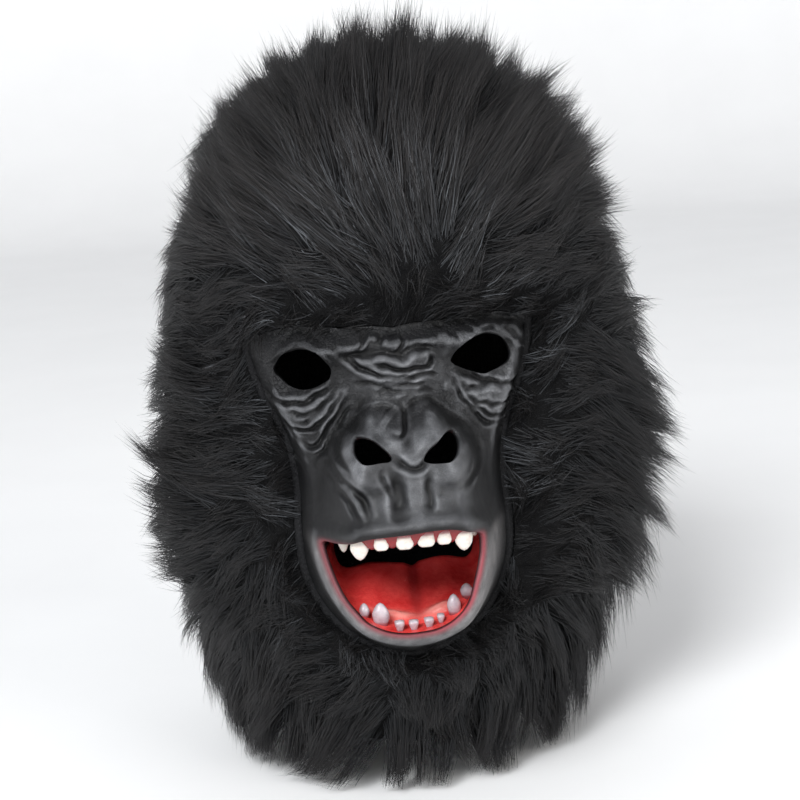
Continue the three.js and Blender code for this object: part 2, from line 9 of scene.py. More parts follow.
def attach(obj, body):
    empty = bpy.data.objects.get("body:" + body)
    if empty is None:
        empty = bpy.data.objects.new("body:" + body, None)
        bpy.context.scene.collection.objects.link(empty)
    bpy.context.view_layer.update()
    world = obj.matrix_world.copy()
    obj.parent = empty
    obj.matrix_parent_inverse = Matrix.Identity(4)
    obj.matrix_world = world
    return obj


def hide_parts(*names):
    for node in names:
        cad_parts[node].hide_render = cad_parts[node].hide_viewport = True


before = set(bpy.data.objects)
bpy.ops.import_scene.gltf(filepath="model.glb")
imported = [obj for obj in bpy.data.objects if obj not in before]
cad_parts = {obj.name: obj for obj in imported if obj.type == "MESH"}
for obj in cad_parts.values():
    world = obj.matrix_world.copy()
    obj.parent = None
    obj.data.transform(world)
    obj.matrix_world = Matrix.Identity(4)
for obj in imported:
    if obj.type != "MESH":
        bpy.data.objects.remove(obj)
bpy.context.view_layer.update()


# The finished mask stands upright on a pale floor, as if it were worn, in soft daylight from
# the upper left. It is seen from a little above, with its head tipped to the viewer's left.
LENS = 90
CAMERA_AWAY = 0.8
CAMERA_UP, CAMERA_TURN, HEAD_TIP = (math.radians(angle) for angle in (11, 3, 4.3))
BETWEEN_EYES = Vector((0, -0.098, -0.105))
AIM_RIGHT, AIM_DOWN = 0.0029, 0.0142
LAMPS_FACE = Vector((0, 0, -0.12))
FLOOR_AT = -0.296
FLOOR_FLAT, FLOOR_CURVE, FLOOR_BENDS = 2.2, 0.7, 12

ahead = Vector((
    math.sin(CAMERA_TURN) * math.cos(CAMERA_UP),
    math.cos(CAMERA_TURN) * math.cos(CAMERA_UP),
    -math.sin(CAMERA_UP),
))
level = ahead.cross(Vector((0, 0, 1))).normalized()
upright = level.cross(ahead)
right = level * math.cos(HEAD_TIP) - upright * math.sin(HEAD_TIP)
up = level * math.sin(HEAD_TIP) + upright * math.cos(HEAD_TIP)
aim = BETWEEN_EYES + right * AIM_RIGHT - up * AIM_DOWN
camera = bpy.data.objects.new("camera", bpy.data.cameras.new("camera"))
camera.data.lens = LENS
camera.matrix_world = Matrix.Translation(aim - ahead * CAMERA_AWAY) @ Matrix(
    (right, up, -ahead)
).transposed().to_4x4()
bpy.context.collection.objects.link(camera)
bpy.context.scene.camera = camera


def node(tree, kind, inputs=(), **settings):
    """A new node whose inputs, by name or number, take values or other nodes' outputs."""
    made = tree.nodes.new(kind)
    for key, value in settings.items():
        setattr(made, key, value)
    for key, value in dict(inputs).items():
        if isinstance(value, bpy.types.NodeSocket):
            tree.links.new(value, made.inputs[key])
        else:
            made.inputs[key].default_value = value
    return made


def new_material(name, **shader_values):
    """A material, its node tree and its shader, with plain values set on the shader."""
    material = bpy.data.materials.new(name)
    material.use_nodes = True
    tree = material.node_tree
    shader = tree.nodes["Principled BSDF"]
    for key, value in shader_values.items():
        shader.inputs[key.replace("_", " ")].default_value = value
    return material, tree, shader


def blend_colour(tree, share, first, second):
    """Mixes two colours, each a linear RGB tuple or an output."""
    pair = [(*c, 1) if isinstance(c, tuple) else c for c in (first, second)]
    mixed = node(tree, "ShaderNodeMix", {0: share, 6: pair[0], 7: pair[1]}, data_type="RGBA")
    return mixed.outputs[2]


def count(tree, operation, *values):
    """A sum, product or other Math node over those values."""
    return node(tree, "ShaderNodeMath", enumerate(values), operation=operation).outputs[0]


world = bpy.data.worlds.new("daylight")
world.use_nodes = True
world.node_tree.nodes["Background"].inputs["Color"].default_value = (0.9, 0.92, 0.96, 1)
world.node_tree.nodes["Background"].inputs["Strength"].default_value = 0.42
bpy.context.scene.world = world
bpy.context.scene.view_settings.view_transform = "Standard"

# Name, place, size, watts and colour of each lamp
for name, place, size, watts, tint in (
    ("window", (-1.2, -2.8, 2.2), 1.4, 172, (0.96, 0.98, 1)),
    ("bounce", (2.0, -2.4, 1.1), 1.6, 40, (1, 0.98, 0.95)),
    ("skylight", (0.3, 1.0, 2.6), 2.0, 8, (0.96, 0.98, 1)),
):
    light = bpy.data.objects.new(name, bpy.data.lights.new(name, "AREA"))
    light.data.size, light.data.energy, light.data.color = size, watts, tint
    light.location = place
    light.rotation_euler = (LAMPS_FACE - light.location).to_track_quat("-Z", "Y").to_euler()
    bpy.context.collection.objects.link(light)

floor_paint, tree, shader = new_material("floor_paint", Roughness=0.6)
place = node(tree, "ShaderNodeTexCoord").outputs["Object"]
wear = node(tree, "ShaderNodeTexNoise", {"Vector": place, "Scale": 9.0, "Detail": 6.0})
tree.links.new(
    blend_colour(tree, wear.outputs["Fac"], (0.88, 0.875, 0.87), (0.93, 0.925, 0.92)),
    shader.inputs["Base Color"],
)
floor_mesh = bpy.data.meshes.new("floor")
work = bmesh.new()
profile = [(0, 0)]
for i in range(FLOOR_BENDS + 1):
    bend = math.radians(90 * i / FLOOR_BENDS)
    profile.append((FLOOR_FLAT + FLOOR_CURVE * math.sin(bend), FLOOR_CURVE * (1 - math.cos(bend))))
profile = [work.verts.new((r, 0, FLOOR_AT + z)) for r, z in profile]
run = [work.edges.new(pair) for pair in zip(profile, profile[1:])]
bmesh.ops.spin(work, geom=profile + run, cent=(0, 0, 0), axis=(0, 0, 1), angle=2 * math.pi, steps=96)
bmesh.ops.remove_doubles(work, verts=work.verts, dist=1e-5)
bmesh.ops.recalc_face_normals(work, faces=work.faces)
for face in work.faces:
    face.smooth = True
work.to_mesh(floor_mesh)
work.free()
floor = bpy.data.objects.new("floor", floor_mesh)
floor.data.materials.append(floor_paint)
bpy.context.collection.objects.link(floor)


# The hood is a stretch-knit cap that is pulled over the whole head and carries the fur. It is
# cut open round the face and ends at the neck in a turned-up hem. It is worked in millimetres.
HOLLOW_W, HOLLOW_D, HOOD_H = 160, 200, 268
KNIT, CLEAR = 2.5, 0.3
# How far the eyes are below the crown, and how far the jaw and the brow push the knit forward
EYE_DOWN, JAW_OUT, BROW_OUT = 105, 32, 9
# The opening for the face, from its top over the eyes
FACE_W, FACE_H, FACE_TOP = 108, 126, 17
FACE_MIDDLE = FACE_TOP - FACE_H / 2 - EYE_DOWN
HEM_H, HEM_PROUD, HEM_FRONT = 9, 0.9, -60
WALES_ROUND, COURSES_DOWN = 38, 150
# Down the hood as a share of its height, its half width, its front and its back as shares of
# the hollow's, and the reach of the fur as a share of the longest
HOOD_SECTIONS = np.array((
    (0, 0, 0, 0, 0.51), (0.018, 0.36, 0.36, 0.38, 0.51), (0.075, 0.66, 0.66, 0.7, 0.46),
    (0.165, 0.87, 0.87, 0.9, 0.4), (0.28, 0.98, 0.98, 0.99, 0.57), (0.4, 1, 1, 1, 0.74),
    (0.53, 1, 0.98, 0.95, 0.82), (0.66, 0.97, 0.94, 0.86, 0.9), (0.79, 0.9, 0.86, 0.76, 0.74),
    (0.9, 0.79, 0.76, 0.69, 0.68), (1, 0.7, 0.66, 0.64, 0.6),
))
# The edge of the latex: degrees from straight up, and the reach from the face's middle
FACE_EDGE = np.array((
    (0, 1), (20, 1.08), (36, 1.25), (44, 1.34), (50, 1.39), (55, 1.27), (61, 1.1), (66, 0.96),
    (76, 0.82), (95, 0.77), (113, 0.85), (133, 1), (151, 1.08), (169, 1.11), (180, 1.12),
))


def smooth(low, high, value):
    """0 to 1 as a value goes from one end to the other, without a kink at either."""
    share = np.clip((value - low) / (high - low), 0, 1)
    return share * share * (3 - 2 * share)


def bump(across, tall):
    """A round swelling: 1 in the middle, 0 from its edge on."""
    return np.maximum(0, 1 - across**2 - tall**2) ** 2


def section(column, t):
    """A column of the hood's sections at the place t, 0 at the crown and 1 at the hem."""
    last = len(HOOD_SECTIONS) - 1
    i = np.clip((t * last).astype(int), 0, last - 1)
    s = t * last - i
    values = HOOD_SECTIONS[:, column]
    before, a = values[np.maximum(i - 1, 0)], values[i]
    b, after = values[i + 1], values[np.minimum(i + 2, last)]
    first, second = (b - before) / 2, (after - a) / 2
    return a + s * (first + s * (3 * (b - a) - 2 * first - second + s * (2 * (a - b) + first + second)))


def curve_at(table, column, value):
    """A smooth curve through a column of a table, by its first column."""
    keys, values = table[:, 0], table[:, column]
    last = len(keys) - 1
    before = np.maximum(np.arange(last + 1) - 1, 0)
    after = np.minimum(np.arange(last + 1) + 1, last)
    slope = (values[after] - values[before]) / (keys[after] - keys[before])
    i = np.clip(np.searchsorted(keys, value) - 1, 0, last - 1)
    span = keys[i + 1] - keys[i]
    s = np.clip((value - keys[i]) / span, 0, 1)
    rest = 1 - s
    ends = values[i] * (1 + 2 * s) * rest**2 + values[i + 1] * s**2 * (3 - 2 * s)
    return ends + span * s * rest * (slope[i] * rest - slope[i + 1] * s)


def hood_push(x, z):
    """How far the jaw and the brow push the hood forward."""
    from_eye = z + EYE_DOWN
    jaw = bump(x / (0.46 * HOLLOW_W), (from_eye + 0.7 * FACE_H) / (0.57 * FACE_H))
    brow = bump(x / (0.44 * HOLLOW_W), (from_eye - 0.19 * FACE_H) / (0.4 * FACE_H))
    return JAW_OUT * jaw + BROW_OUT * brow


def hood_place(turn, t):
    """A point of the hollow, by the turn from the front and the place from crown to hem."""
    x = section(1, t) * HOLLOW_W / 2 * np.sin(turn)
    z = -section(0, t) * HOOD_H
    forward = np.cos(turn)
    front = section(2, t) * HOLLOW_D / 2 + hood_push(x, z)
    back = section(3, t) * HOLLOW_D / 2
    return np.stack((x, -np.where(forward > 0, front, back) * forward, z), axis=-1)


def hood_grid(columns, rows):
    """Turns and places of a grid round the hood and down it, row by row."""
    round_it, down_it = np.linspace(0, 2 * np.pi, columns, endpoint=False), np.linspace(0, 1, rows)
    turn, t = np.meshgrid(round_it, down_it)
    return turn.ravel(), t.ravel()


def unit(vectors):
    """Vectors made 1 long."""
    return vectors / np.maximum(np.linalg.norm(vectors, axis=-1, keepdims=True), 1e-9)


def hood_normal(turn, t):
    """The way out of the hood there, taken a little below the crown, where all columns meet."""
    t = np.maximum(t, 0.012)
    step = 0.004
    round_it = hood_place(turn + step, t) - hood_place(turn - step, t)
    down_it = hood_place(turn, np.minimum(t + step, 1)) - hood_place(turn, t - step)
    return unit(np.cross(down_it, round_it))


def grid_faces(rows, columns, joined=False):
    """Quads over a grid numbered row by row. A joined grid's last column meets its first."""
    row, column = np.meshgrid(
        np.arange(rows - 1), np.arange(columns if joined else columns - 1), indexing="ij"
    )
    a = row * columns + column
    b = row * columns + (column + 1) % columns
    return np.stack((a, b, b + columns, a + columns), axis=-1).reshape(-1, 4)


def outline_gap(x, z, outline):
    """How far points lie outside a closed outline, and less than 0 within it."""
    start = np.asarray(outline, float)
    run = np.roll(start, -1, axis=0) - start
    points = np.stack((x, z), axis=-1)[:, None, :]
    along = np.clip(((points - start) * run).sum(-1) / (run**2).sum(-1), 0, 1)
    far = np.linalg.norm(points - start - along[..., None] * run, axis=-1).min(axis=1)
    rises = (start[:, 1] > points[..., 1]) != (np.roll(start, -1, axis=0)[:, 1] > points[..., 1])
    lean = np.where(run[:, 1] == 0, 1e-9, run[:, 1])
    crossing = start[:, 0] + (points[..., 1] - start[:, 1]) * run[:, 0] / lean
    within = (rises & (points[..., 0] < crossing)).sum(axis=1) % 2 == 1
    return np.where(within, -far, far)


def face_outline(grow):
    """The edge of the latex, made that many millimetres larger."""
    turn = np.linspace(0, 2 * np.pi, 240, endpoint=False)
    reach = curve_at(FACE_EDGE, 1, np.degrees(np.arctan2(np.abs(np.sin(turn)), np.cos(turn))))
    x, z = reach * FACE_W / 2 * np.sin(turn), reach * FACE_H / 2 * np.cos(turn)
    wider = 1 + grow / np.hypot(x, z)
    return np.stack((x * wider, FACE_MIDDLE + z * wider), axis=-1)


def cut_along(inside, faces):
    """Cuts faces where a value of their points falls to 0. Returns what is left of them and, for
    each corner that the cut adds, the two points it lies between and its part of the way."""
    kept = inside[faces] > 0
    left = [tuple(face) for face in faces[kept.all(axis=1)].tolist()]
    between = {}
    for face in faces[kept.any(axis=1) & ~kept.all(axis=1)].tolist():
        corners = []
        for a, b in zip(face, face[1:] + face[:1]):
            if inside[a] > 0:
                corners.append(a)
            if (inside[a] > 0) != (inside[b] > 0):
                corners.append(between.setdefault((min(a, b), max(a, b)), len(inside) + len(between)))
        left.append(tuple(corners))
    ends = np.array(list(between))
    return left, ends, inside[ends[:, 0]] / (inside[ends[:, 0]] - inside[ends[:, 1]])


def with_cut(values, ends, part):
    """Values of points, and after them those of the corners that a cut has added."""
    values = np.asarray(values, float)
    part = part.reshape(-1, *[1] * (values.ndim - 1))
    return np.concatenate((values, values[ends[:, 0]] * (1 - part) + values[ends[:, 1]] * part))


def new_piece(name, points, faces, material, values=()):
    """A mesh in metres from points in millimetres, with values on its points."""
    mesh = bpy.data.meshes.new(name)
    places = (np.asarray(points).reshape(-1, 3) * 0.001).tolist()
    mesh.from_pydata(places, [], [tuple(face) for face in faces])
    for key, column in dict(values).items():
        column = np.asarray(column, float)
        kind = "FLOAT_VECTOR" if column.ndim == 2 else "FLOAT"
        attribute = mesh.attributes.new(key, kind, "POINT")
        attribute.data.foreach_set("vector" if column.ndim == 2 else "value", column.ravel())
    piece = bpy.data.objects.new(name, mesh)
    piece.data.materials.append(material)
    bpy.context.collection.objects.link(piece)
    return piece


def close_up(piece, merge=1e-6):
    """Merges doubled points, drops loose ones, and points every face outwards."""
    work = bmesh.new()
    work.from_mesh(piece.data)
    bmesh.ops.remove_doubles(work, verts=work.verts, dist=merge)
    bmesh.ops.delete(work, geom=[v for v in work.verts if not v.link_faces], context="VERTS")
    bmesh.ops.recalc_face_normals(work, faces=work.faces)
    for face in work.faces:
        face.smooth = True
    work.to_mesh(piece.data)
    work.free()


def give_wall(piece, thickness):
    """A wall of that thickness in metres, inward from the faces."""
    wall = piece.modifiers.new("wall", "SOLIDIFY")
    wall.thickness, wall.offset = thickness, -1


def apply_all(piece):
    """The piece's modifiers made part of its mesh."""
    shown = piece.evaluated_get(bpy.context.evaluated_depsgraph_get())
    mesh = bpy.data.meshes.new_from_object(shown)
    piece.modifiers.clear()
    piece.data = mesh


def new_group(name, kind, inputs, outputs):
    """A node group with its sockets, and what it is given."""
    group = bpy.data.node_groups.new(name, kind)
    for way, sockets in (("INPUT", inputs), ("OUTPUT", outputs)):
        for label, socket in sockets.items():
            group.interface.new_socket(label, in_out=way, socket_type=f"NodeSocket{socket}")
    return group, node(group, "NodeGroupInput").outputs


def own_value(tree, name):
    """A value that the points of the piece carry."""
    return node(tree, "ShaderNodeAttribute", attribute_name=name).outputs["Fac"]


def ramp(tree, value, *ends):
    """As a value goes from the first end to the second, goes from 0 to 1, or from the third end
    to the fourth."""
    return node(tree, "ShaderNodeMapRange", {"Value": value, **dict(enumerate(ends, 1))}).outputs[0]


# A group that several finishes share: soft patches, and a fine grain to bump the surface with
mottle, given = new_group("mottle", "ShaderNodeTree", {
    "Place": "Vector", "Patches per metre": "Float", "Grains per metre": "Float",
}, {"Patches": "Float", "Grain": "Float"})
patches = node(mottle, "ShaderNodeTexNoise", {
    "Vector": given["Place"], "Scale": given["Patches per metre"], "Detail": 4.0, "Roughness": 0.6,
})
spread = ramp(mottle, patches.outputs["Fac"], 0.3, 0.7)
grain = node(mottle, "ShaderNodeTexNoise", {
    "Vector": given["Place"], "Scale": given["Grains per metre"], "Detail": 3.0, "Roughness": 0.55,
})
node(mottle, "NodeGroupOutput", {"Patches": spread, "Grain": grain.outputs["Fac"]})


def add_mottle(tree, patches, grains):
    """The mottle on a piece's own place: its patches and its grain."""
    made = node(tree, "ShaderNodeGroup", node_tree=mottle)
    tree.links.new(node(tree, "ShaderNodeTexCoord").outputs["Object"], made.inputs["Place"])
    made.inputs["Patches per metre"].default_value = patches
    made.inputs["Grains per metre"].default_value = grains
    return made.outputs["Patches"], made.outputs["Grain"]


def add_bump(tree, shader, height, distance, strength):
    inputs = {"Height": height, "Distance": distance, "Strength": strength}
    raised = node(tree, "ShaderNodeBump", inputs)
    tree.links.new(raised.outputs["Normal"], shader.inputs["Normal"])


knit, tree, shader = new_material("black_knit", Roughness=0.95, Specular_IOR_Level=0.2)
patches, grain = add_mottle(tree, 60.0, 900.0)
tree.links.new(
    blend_colour(tree, patches, (0.005, 0.005, 0.0055), (0.01, 0.01, 0.011)), shader.inputs["Base Color"]
)
wave = count(tree, "SINE", count(tree, "MULTIPLY", own_value(tree, "wale"), 2 * math.pi))
courses = count(tree, "MULTIPLY", own_value(tree, "course"), 2 * math.pi)
chevron = count(tree, "SINE", count(tree, "ADD", courses, wave))
loops = count(tree, "MULTIPLY_ADD", chevron, 0.5, count(tree, "MULTIPLY", wave, 0.5))
add_bump(tree, shader, count(tree, "MULTIPLY_ADD", grain, 0.6, loops), 0.0004, 0.7)

columns, rows = 112, 84
turn, t = hood_grid(columns, rows)
points = hood_place(turn, t) + KNIT * hood_normal(turn, t)
points[t == 0] = points[t == 0].mean(axis=0)
turned_up = smooth(HOOD_H - HEM_H - 1, HOOD_H - HEM_H, -points[:, 2])
points += HEM_PROUD * turned_up[:, None] * hood_normal(turn, t) * (points[:, 1:2] > HEM_FRONT)
gap = outline_gap(points[:, 0], points[:, 2], face_outline(CLEAR))
# Behind the middle of the head nothing is cut, so any value above 0 does there
cut = cut_along(np.where(points[:, 1] < 0, gap, HOOD_H), grid_faces(rows, columns, joined=True))
hood = new_piece("hood_knit", with_cut(points, *cut[1:]), cut[0], knit, {
    "wale": with_cut(turn * WALES_ROUND, *cut[1:]), "course": with_cut(t * COURSES_DOWN, *cut[1:]),
})
close_up(hood)
give_wall(hood, KNIT * 0.001)
apply_all(hood)
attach(hood, "root")
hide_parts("hood")


# The face is one moulding of black latex, glued into the opening of the hood. Its folds, nose
# and lips are cast in it, and its raised parts are brushed over in grey with a dry brush. Its
# grooves, the top of its brow and the place over its left eye are painted darker as painted shade.
LATEX = 2.0
FACE_PROUD, MUZZLE_OUT, LIP_ROLL = 6, 50, 3
MOUTH_W, MOUTH_H = 64, 43
MOUTH_MIDDLE = -EYE_DOWN - 0.64 * FACE_H
FACE_STEP, GRID_HALF_W, GRID_UP = 0.58, 62, 22
FOLD_DEPTH, FOLD_WIDTH = 1.5, 0.92
BANK_H, BANK_AT, BANK_W = 0.35, 1.9, math.sqrt(0.5)
# How far the folds stray sideways and up, the crinkle of the skin and its swelling: radius in
# steps of the grid, and amount
SKIN_NOISE = ((3, 4), (3, 4), (1.6, 1.2), (5, 1.6))
# The muzzle from the bridge of the nose to the chin: down as a share of the face's height from
# the eyes, out as a share of MUZZLE_OUT, and its half width as a share of half the face's
MUZZLE_SECTIONS = np.array((
    (-0.13, 0.12, 0.3), (0, 0.2, 0.28), (0.08, 0.23, 0.3), (0.14, 0.4, 0.38), (0.2, 0.68, 0.5),
    (0.27, 0.82, 0.6), (0.34, 0.84, 0.68), (0.42, 0.93, 0.75), (0.5, 0.98, 0.8),
    (0.65, 0.96, 0.82), (0.78, 0.88, 0.74), (0.85, 0.78, 0.62), (0.92, 0.62, 0.45),
))
# Forms on both sides: side, down, wide, tall and out, in the same shares
FACE_FORMS = (
    (0.62, -0.095, 0.5, 0.085, 0.17), (0, -0.06, 0.3, 0.08, 0.05), (0.66, 0.01, 0.34, 0.1, -0.12),
    (0.68, 0.13, 0.32, 0.07, 0.05), (0.56, 0.3, 0.28, 0.13, 0.07), (0.32, 0.25, 0.24, 0.1, 0.15),
    (0.17, 0.17, 0.2, 0.07, 0.08), (0, 0.19, 0.07, 0.06, -0.03), (0.25, 0.26, 0.16, 0.055, -0.06),
)
# The openings: millimetres to the right of the middle, and up from the eye line
LEFT_EYE = (
    (-48, 0), (-46.5, 3.5), (-43.5, 8), (-39, 11), (-34.5, 11.5), (-30.5, 10), (-27.5, 6), (-25, 1.5),
    (-26, -2.5), (-30, -5.5), (-33.5, -7), (-37.5, -7.5), (-42, -6), (-45.5, -3),
)
RIGHT_EYE = (
    (22.5, 1.5), (26, 7), (30, 10), (34, 11.5), (39.5, 11), (43.5, 8.5), (47, 3.5), (49, -1.5), (48, -4),
    (44.5, -5.5), (40.5, -6.5), (36.5, -7), (32, -5.5), (26.5, -2.5),
)
LEFT_NOSTRIL = (
    (-20, -27), (-19, -23.5), (-16, -22), (-12, -22), (-8, -24.5), (-5, -28.5), (-6, -30),
    (-10, -30), (-14.5, -30), (-18, -29),
)
RIGHT_NOSTRIL = (
    (7, -31), (8.5, -27.5), (12, -24.5), (17, -23), (21, -24), (23, -27), (22, -30), (18.5, -31.5),
    (14.5, -32), (10, -32),
)
MOUTH = (
    (-34.5, -66), (-28.5, -62.5), (-18, -59), (-9.5, -58), (-0.5, -57.5), (8, -57), (17.5, -58),
    (27.5, -62.5), (28.5, -69), (27, -75.5), (24.5, -82.5), (21.5, -90), (16, -96.5), (9, -100.5),
    (1.5, -101.5), (-5.5, -101.5), (-12, -100), (-18.5, -96.5), (-23.5, -92), (-28, -87), (-31, -81),
    (-33.5, -73.5),
)
# Folds and ridges: half width, height (grooves below 0), and then points as the openings have
FOLDS = (
    # under and over the left eye
    (1.3, -1.6, (-50.5, -2), (-49.5, -10.5), (-46.5, -12.5), (-41.5, -13), (-36.5, -12), (-27, -7.5),
        (-23, -3.5)),
    (1, -1.2, (-43, -16), (-39, -17.5), (-34.5, -17), (-26.5, -10.5), (-22.5, -5.5)),
    (1, -1.3, (-44, -22.5), (-40, -23.5), (-35.5, -23.5), (-32, -21.5), (-29, -18.5), (-21.5, -8.5)),
    (1, -1.2, (-39, -29), (-35.5, -30.5), (-32, -28.5), (-26, -20), (-20, -10.5)),
    (1, -1, (-35.5, -36.5), (-31, -32), (-28, -27.5), (-21.5, -17), (-18.5, -14)),
    (0.8, -0.8, (-29.5, -15.5), (-36, -20), (-39, -20)),
    (0.9, -0.9, (-46, -19.5), (-43.5, -22), (-42, -26.5), (-40, -29)),
    (1, -0.9, (-48.5, -14.5), (-48, -19.5), (-44, -31), (-41, -36), (-38, -38.5)),
    (1.2, 0.7, (-50.5, -14), (-48.5, -20), (-44.5, -30.5), (-42, -35), (-36.5, -40.5)),
    (0.9, 1, (-51, 3), (-48, 5), (-44, 9.5), (-39, 12), (-33.5, 12.5), (-29.5, 10.5), (-24, 2.5)),
    (1.2, -0.9, (-49.5, 7), (-40, 14.5), (-34.5, 15.5), (-29.5, 14), (-23, 10)),
    (0.9, 0.6, (-22, -2.5), (-25.5, -7), (-35, -13.5), (-38, -16.5)),
    (0.9, 0.6, (-19.5, -7), (-25, -14.5), (-30, -23), (-32.5, -26.5)),
    (0.8, 0.5, (-23, -17), (-27, -26)),
    (0.8, 0.5, (-31, -17), (-34, -21), (-37.5, -22.5)),
    (0.8, 0.5, (-29, -26), (-32.5, -31.5)),
    # under and over the right eye
    (1.3, -1.6, (25, -2.5), (33.5, -8.5), (37, -10.5), (45, -12), (50.5, -14), (54.5, -12)),
    (1, -1, (27, -8), (30, -11), (43, -13)),
    (1, -1.3, (28.5, -12), (31, -15.5), (34.5, -18), (45.5, -20.5), (49.5, -20), (52.5, -17.5)),
    (1, -1.2, (29.5, -15), (32.5, -19.5), (40, -24.5), (44, -26), (48, -24)),
    (1, -1.1, (23.5, -6.5), (27, -14.5), (32, -22.5), (35.5, -26), (45, -28.5)),
    (1.2, 0.8, (57, -7.5), (55, -14.5), (51.5, -19), (45.5, -30), (43.5, -33), (40, -35)),
    (0.9, 1, (30, 11), (33.5, 12.5), (38, 13), (43, 11.5), (51, 3.5), (57.5, -3), (59, -6)),
    (1, 0.5, (20, -1.5), (26.5, -7), (31.5, -10.5)),
    (1, 0.6, (19.5, -6), (21, -10.5)),
    (2.2, 1.6, (40.5, 14), (43.5, 16), (48, 16.5), (53.5, 15), (58, 12.5), (61.5, 9), (63, 4.5), (62, 0.5),
        (60, -2.5)),
    (1.4, -1.6, (40.5, 13), (46, 13.5), (50.5, 12), (54.5, 8.5), (57.5, 4.5), (58.5, -0.5)),
    # the brow
    (3, 1.2, (-10, 14.5), (-6.5, 13.5)),
    (2.6, 1.3, (-0.5, 14), (-0.5, 10.5)),
    (2.4, 1, (-26.5, 15.5), (-22, 16.5), (-15.5, 15.5), (-13.5, 13.5)),
    (0.9, -1.3, (-4.5, 15), (-5.5, 11.5)),
    (0.9, -1, (-11.5, 14.5), (-12.5, 12), (-14.5, 10.5)),
    (0.9, -1.1, (3.5, 14), (3, 10.5), (1, 8.5)),
    (0.8, -0.7, (17, 17.5), (20.5, 15)),
    (0.8, -0.8, (22, 14), (26, 10.5)),
    (0.8, -0.7, (29.5, 18.5), (35.5, 12)),
    (0.8, -0.6, (26.5, 16.5), (33, 11)),
    (2.2, 1, (17.5, 13), (22.5, 13.5)),
    (2.2, 0.9, (13.5, 11.5), (17.5, 9.5)),
    # across the bridge of the nose
    (1.3, 0.9, (-22, 7), (-16, 1), (-12, -1.5), (-7.5, -2.5), (3, -3)),
    (1, -1.1, (-18.5, 6), (-12, 1), (-4, -1.5)),
    (1.1, 0.8, (-11.5, 4.5), (-4.5, 0), (3.5, -0.5)),
    (0.9, -1.1, (-8, 5), (-1.5, 1), (3.5, 1)),
    (1.2, 0.9, (-7.5, 7), (-1, 4), (4, 4)),
    (2.2, -2, (-23.5, 9.5), (-18.5, 8), (-13, 8), (-8.5, 9.5), (-4, 9), (4, 6.5)),
    (0.9, -0.7, (-16, -4.5), (-11, -4), (-4.5, -6.5), (-1, -6)),
    (0.9, -0.8, (-8.5, -7.5), (3, -8)),
    (2.6, 0.9, (0, 5), (10.5, 6), (14.5, 5.5)),
    (1, -1.2, (0, 2), (10.5, 0.5), (13.5, 2), (15, 4.5)),
    (2, -1.8, (0, 7.5), (7, 8), (18.5, 9)),
    (1, -0.9, (5, -3.5), (8.5, -2), (13.5, -2.5), (17, -4)),
    (0.9, -0.7, (-0.5, -5.5), (8, -5.5), (11.5, -7)),
    (1, 0.7, (-1, -8.5), (4, -9)),
    (0.8, -0.7, (8, -8.5), (11, -8), (15, -10)),
    # the nose
    (1, -1, (1, -12), (2, -16), (1.5, -20), (-1, -22), (-5, -20.5)),
    (4.8, 0.9, (-6, -15.5), (-4, -18)),
    (0.9, 0.6, (-20.5, -20.5), (-12, -12), (-7, -10.5), (-2, -11.5), (2, -14)),
    (1.2, -0.6, (3, -15), (6, -12.5), (10, -11.5), (14.5, -12)),
    (0.9, 0.6, (13, -11), (17.5, -14.5), (27.5, -23.5), (31, -28)),
    (3.2, 1, (-21, -33), (-23.5, -28.5), (-21.5, -22), (-16, -18), (-10, -18), (-5, -21.5), (-1, -26.5),
        (2.5, -29)),
    (3.2, 1, (2.5, -29), (10.5, -20.5), (16, -18), (22.5, -19.5), (26.5, -26), (26.5, -32), (23, -37)),
    (1.4, -1.3, (-4.5, -29), (-0.5, -32.5), (4.5, -33), (8.5, -31)),
    (1.6, -1.5, (-23, -24.5), (-25, -29), (-22, -35)),
    (1.6, -1.3, (30.5, -30.5), (31, -37), (28, -41.5), (23.5, -43.5)),
    # the upper lip
    (2.4, -1.3, (-4, -33.5), (-4, -44), (-3.5, -50)),
    (1.6, -0.8, (8, -34), (8.5, -45.5), (7, -49)),
    (1.1, -0.9, (-9.5, -34), (-7, -44)),
    (2.4, 0.8, (-10.5, -42.5), (-8.5, -48), (-8.5, -52.5)),
    (3.4, 0.9, (3, -36), (3, -44), (3, -56)),
    (3.4, 0.7, (13, -44.5), (10.5, -50)),
    (1.1, 1, (-25.5, -40.5), (-21.5, -41.5), (-17.5, -49.5)),
    (1.2, -1.3, (-27, -42.5), (-23.5, -44.5), (-21, -47.5), (-20, -52)),
    (1.2, -1, (-24.5, -39.5), (-20, -40.5), (-17, -44), (-15.5, -49)),
    (1, -0.7, (-30.5, -38), (-28, -40.5), (-27, -43)),
)
# Where the grey brush has gone over the form: middle, half width and height, and how much. Below
# 0 the grey is taken off, which along the top of the brow and over the left eye is painted shade.
BRUSH_AND_SHADE = (
    (2, -4, 19, 9, 0.32), (-32, -20, 13, 13, 0.14), (42, -16, 15, 13, 0.42), (-18, -26, 8, 7, 0.22),
    (20, -24, 9, 9, 0.22), (2, -27, 8, 6, 0.42), (-12, -45, 6, 9, 0.42), (4, -44, 6, 9, 0.46),
    (15, -42, 7, 10, 0.4), (-5, -17, 5, 4, 0.2), (0, -57, 34, 4, -0.3), (-22, -34, 6, 6, 0.16),
    (-48, 8, 22, 12, -0.7), (4, 16, 40, 6, -0.6), (-33, -48, 12, 18, -0.9),
    (34, -50, 8, 22, -0.7), (-52, -8, 6, 14, -0.6), (54, 12, 12, 8, -0.5),
)


def face_share(x, z):
    """0 in the middle of the face and 1 at its edge."""
    across, tall = x / (FACE_W / 2), (z - FACE_MIDDLE) / (FACE_H / 2)
    turn = np.degrees(np.arctan2(np.abs(across), tall))
    return np.hypot(across, tall) / curve_at(FACE_EDGE, 1, turn)


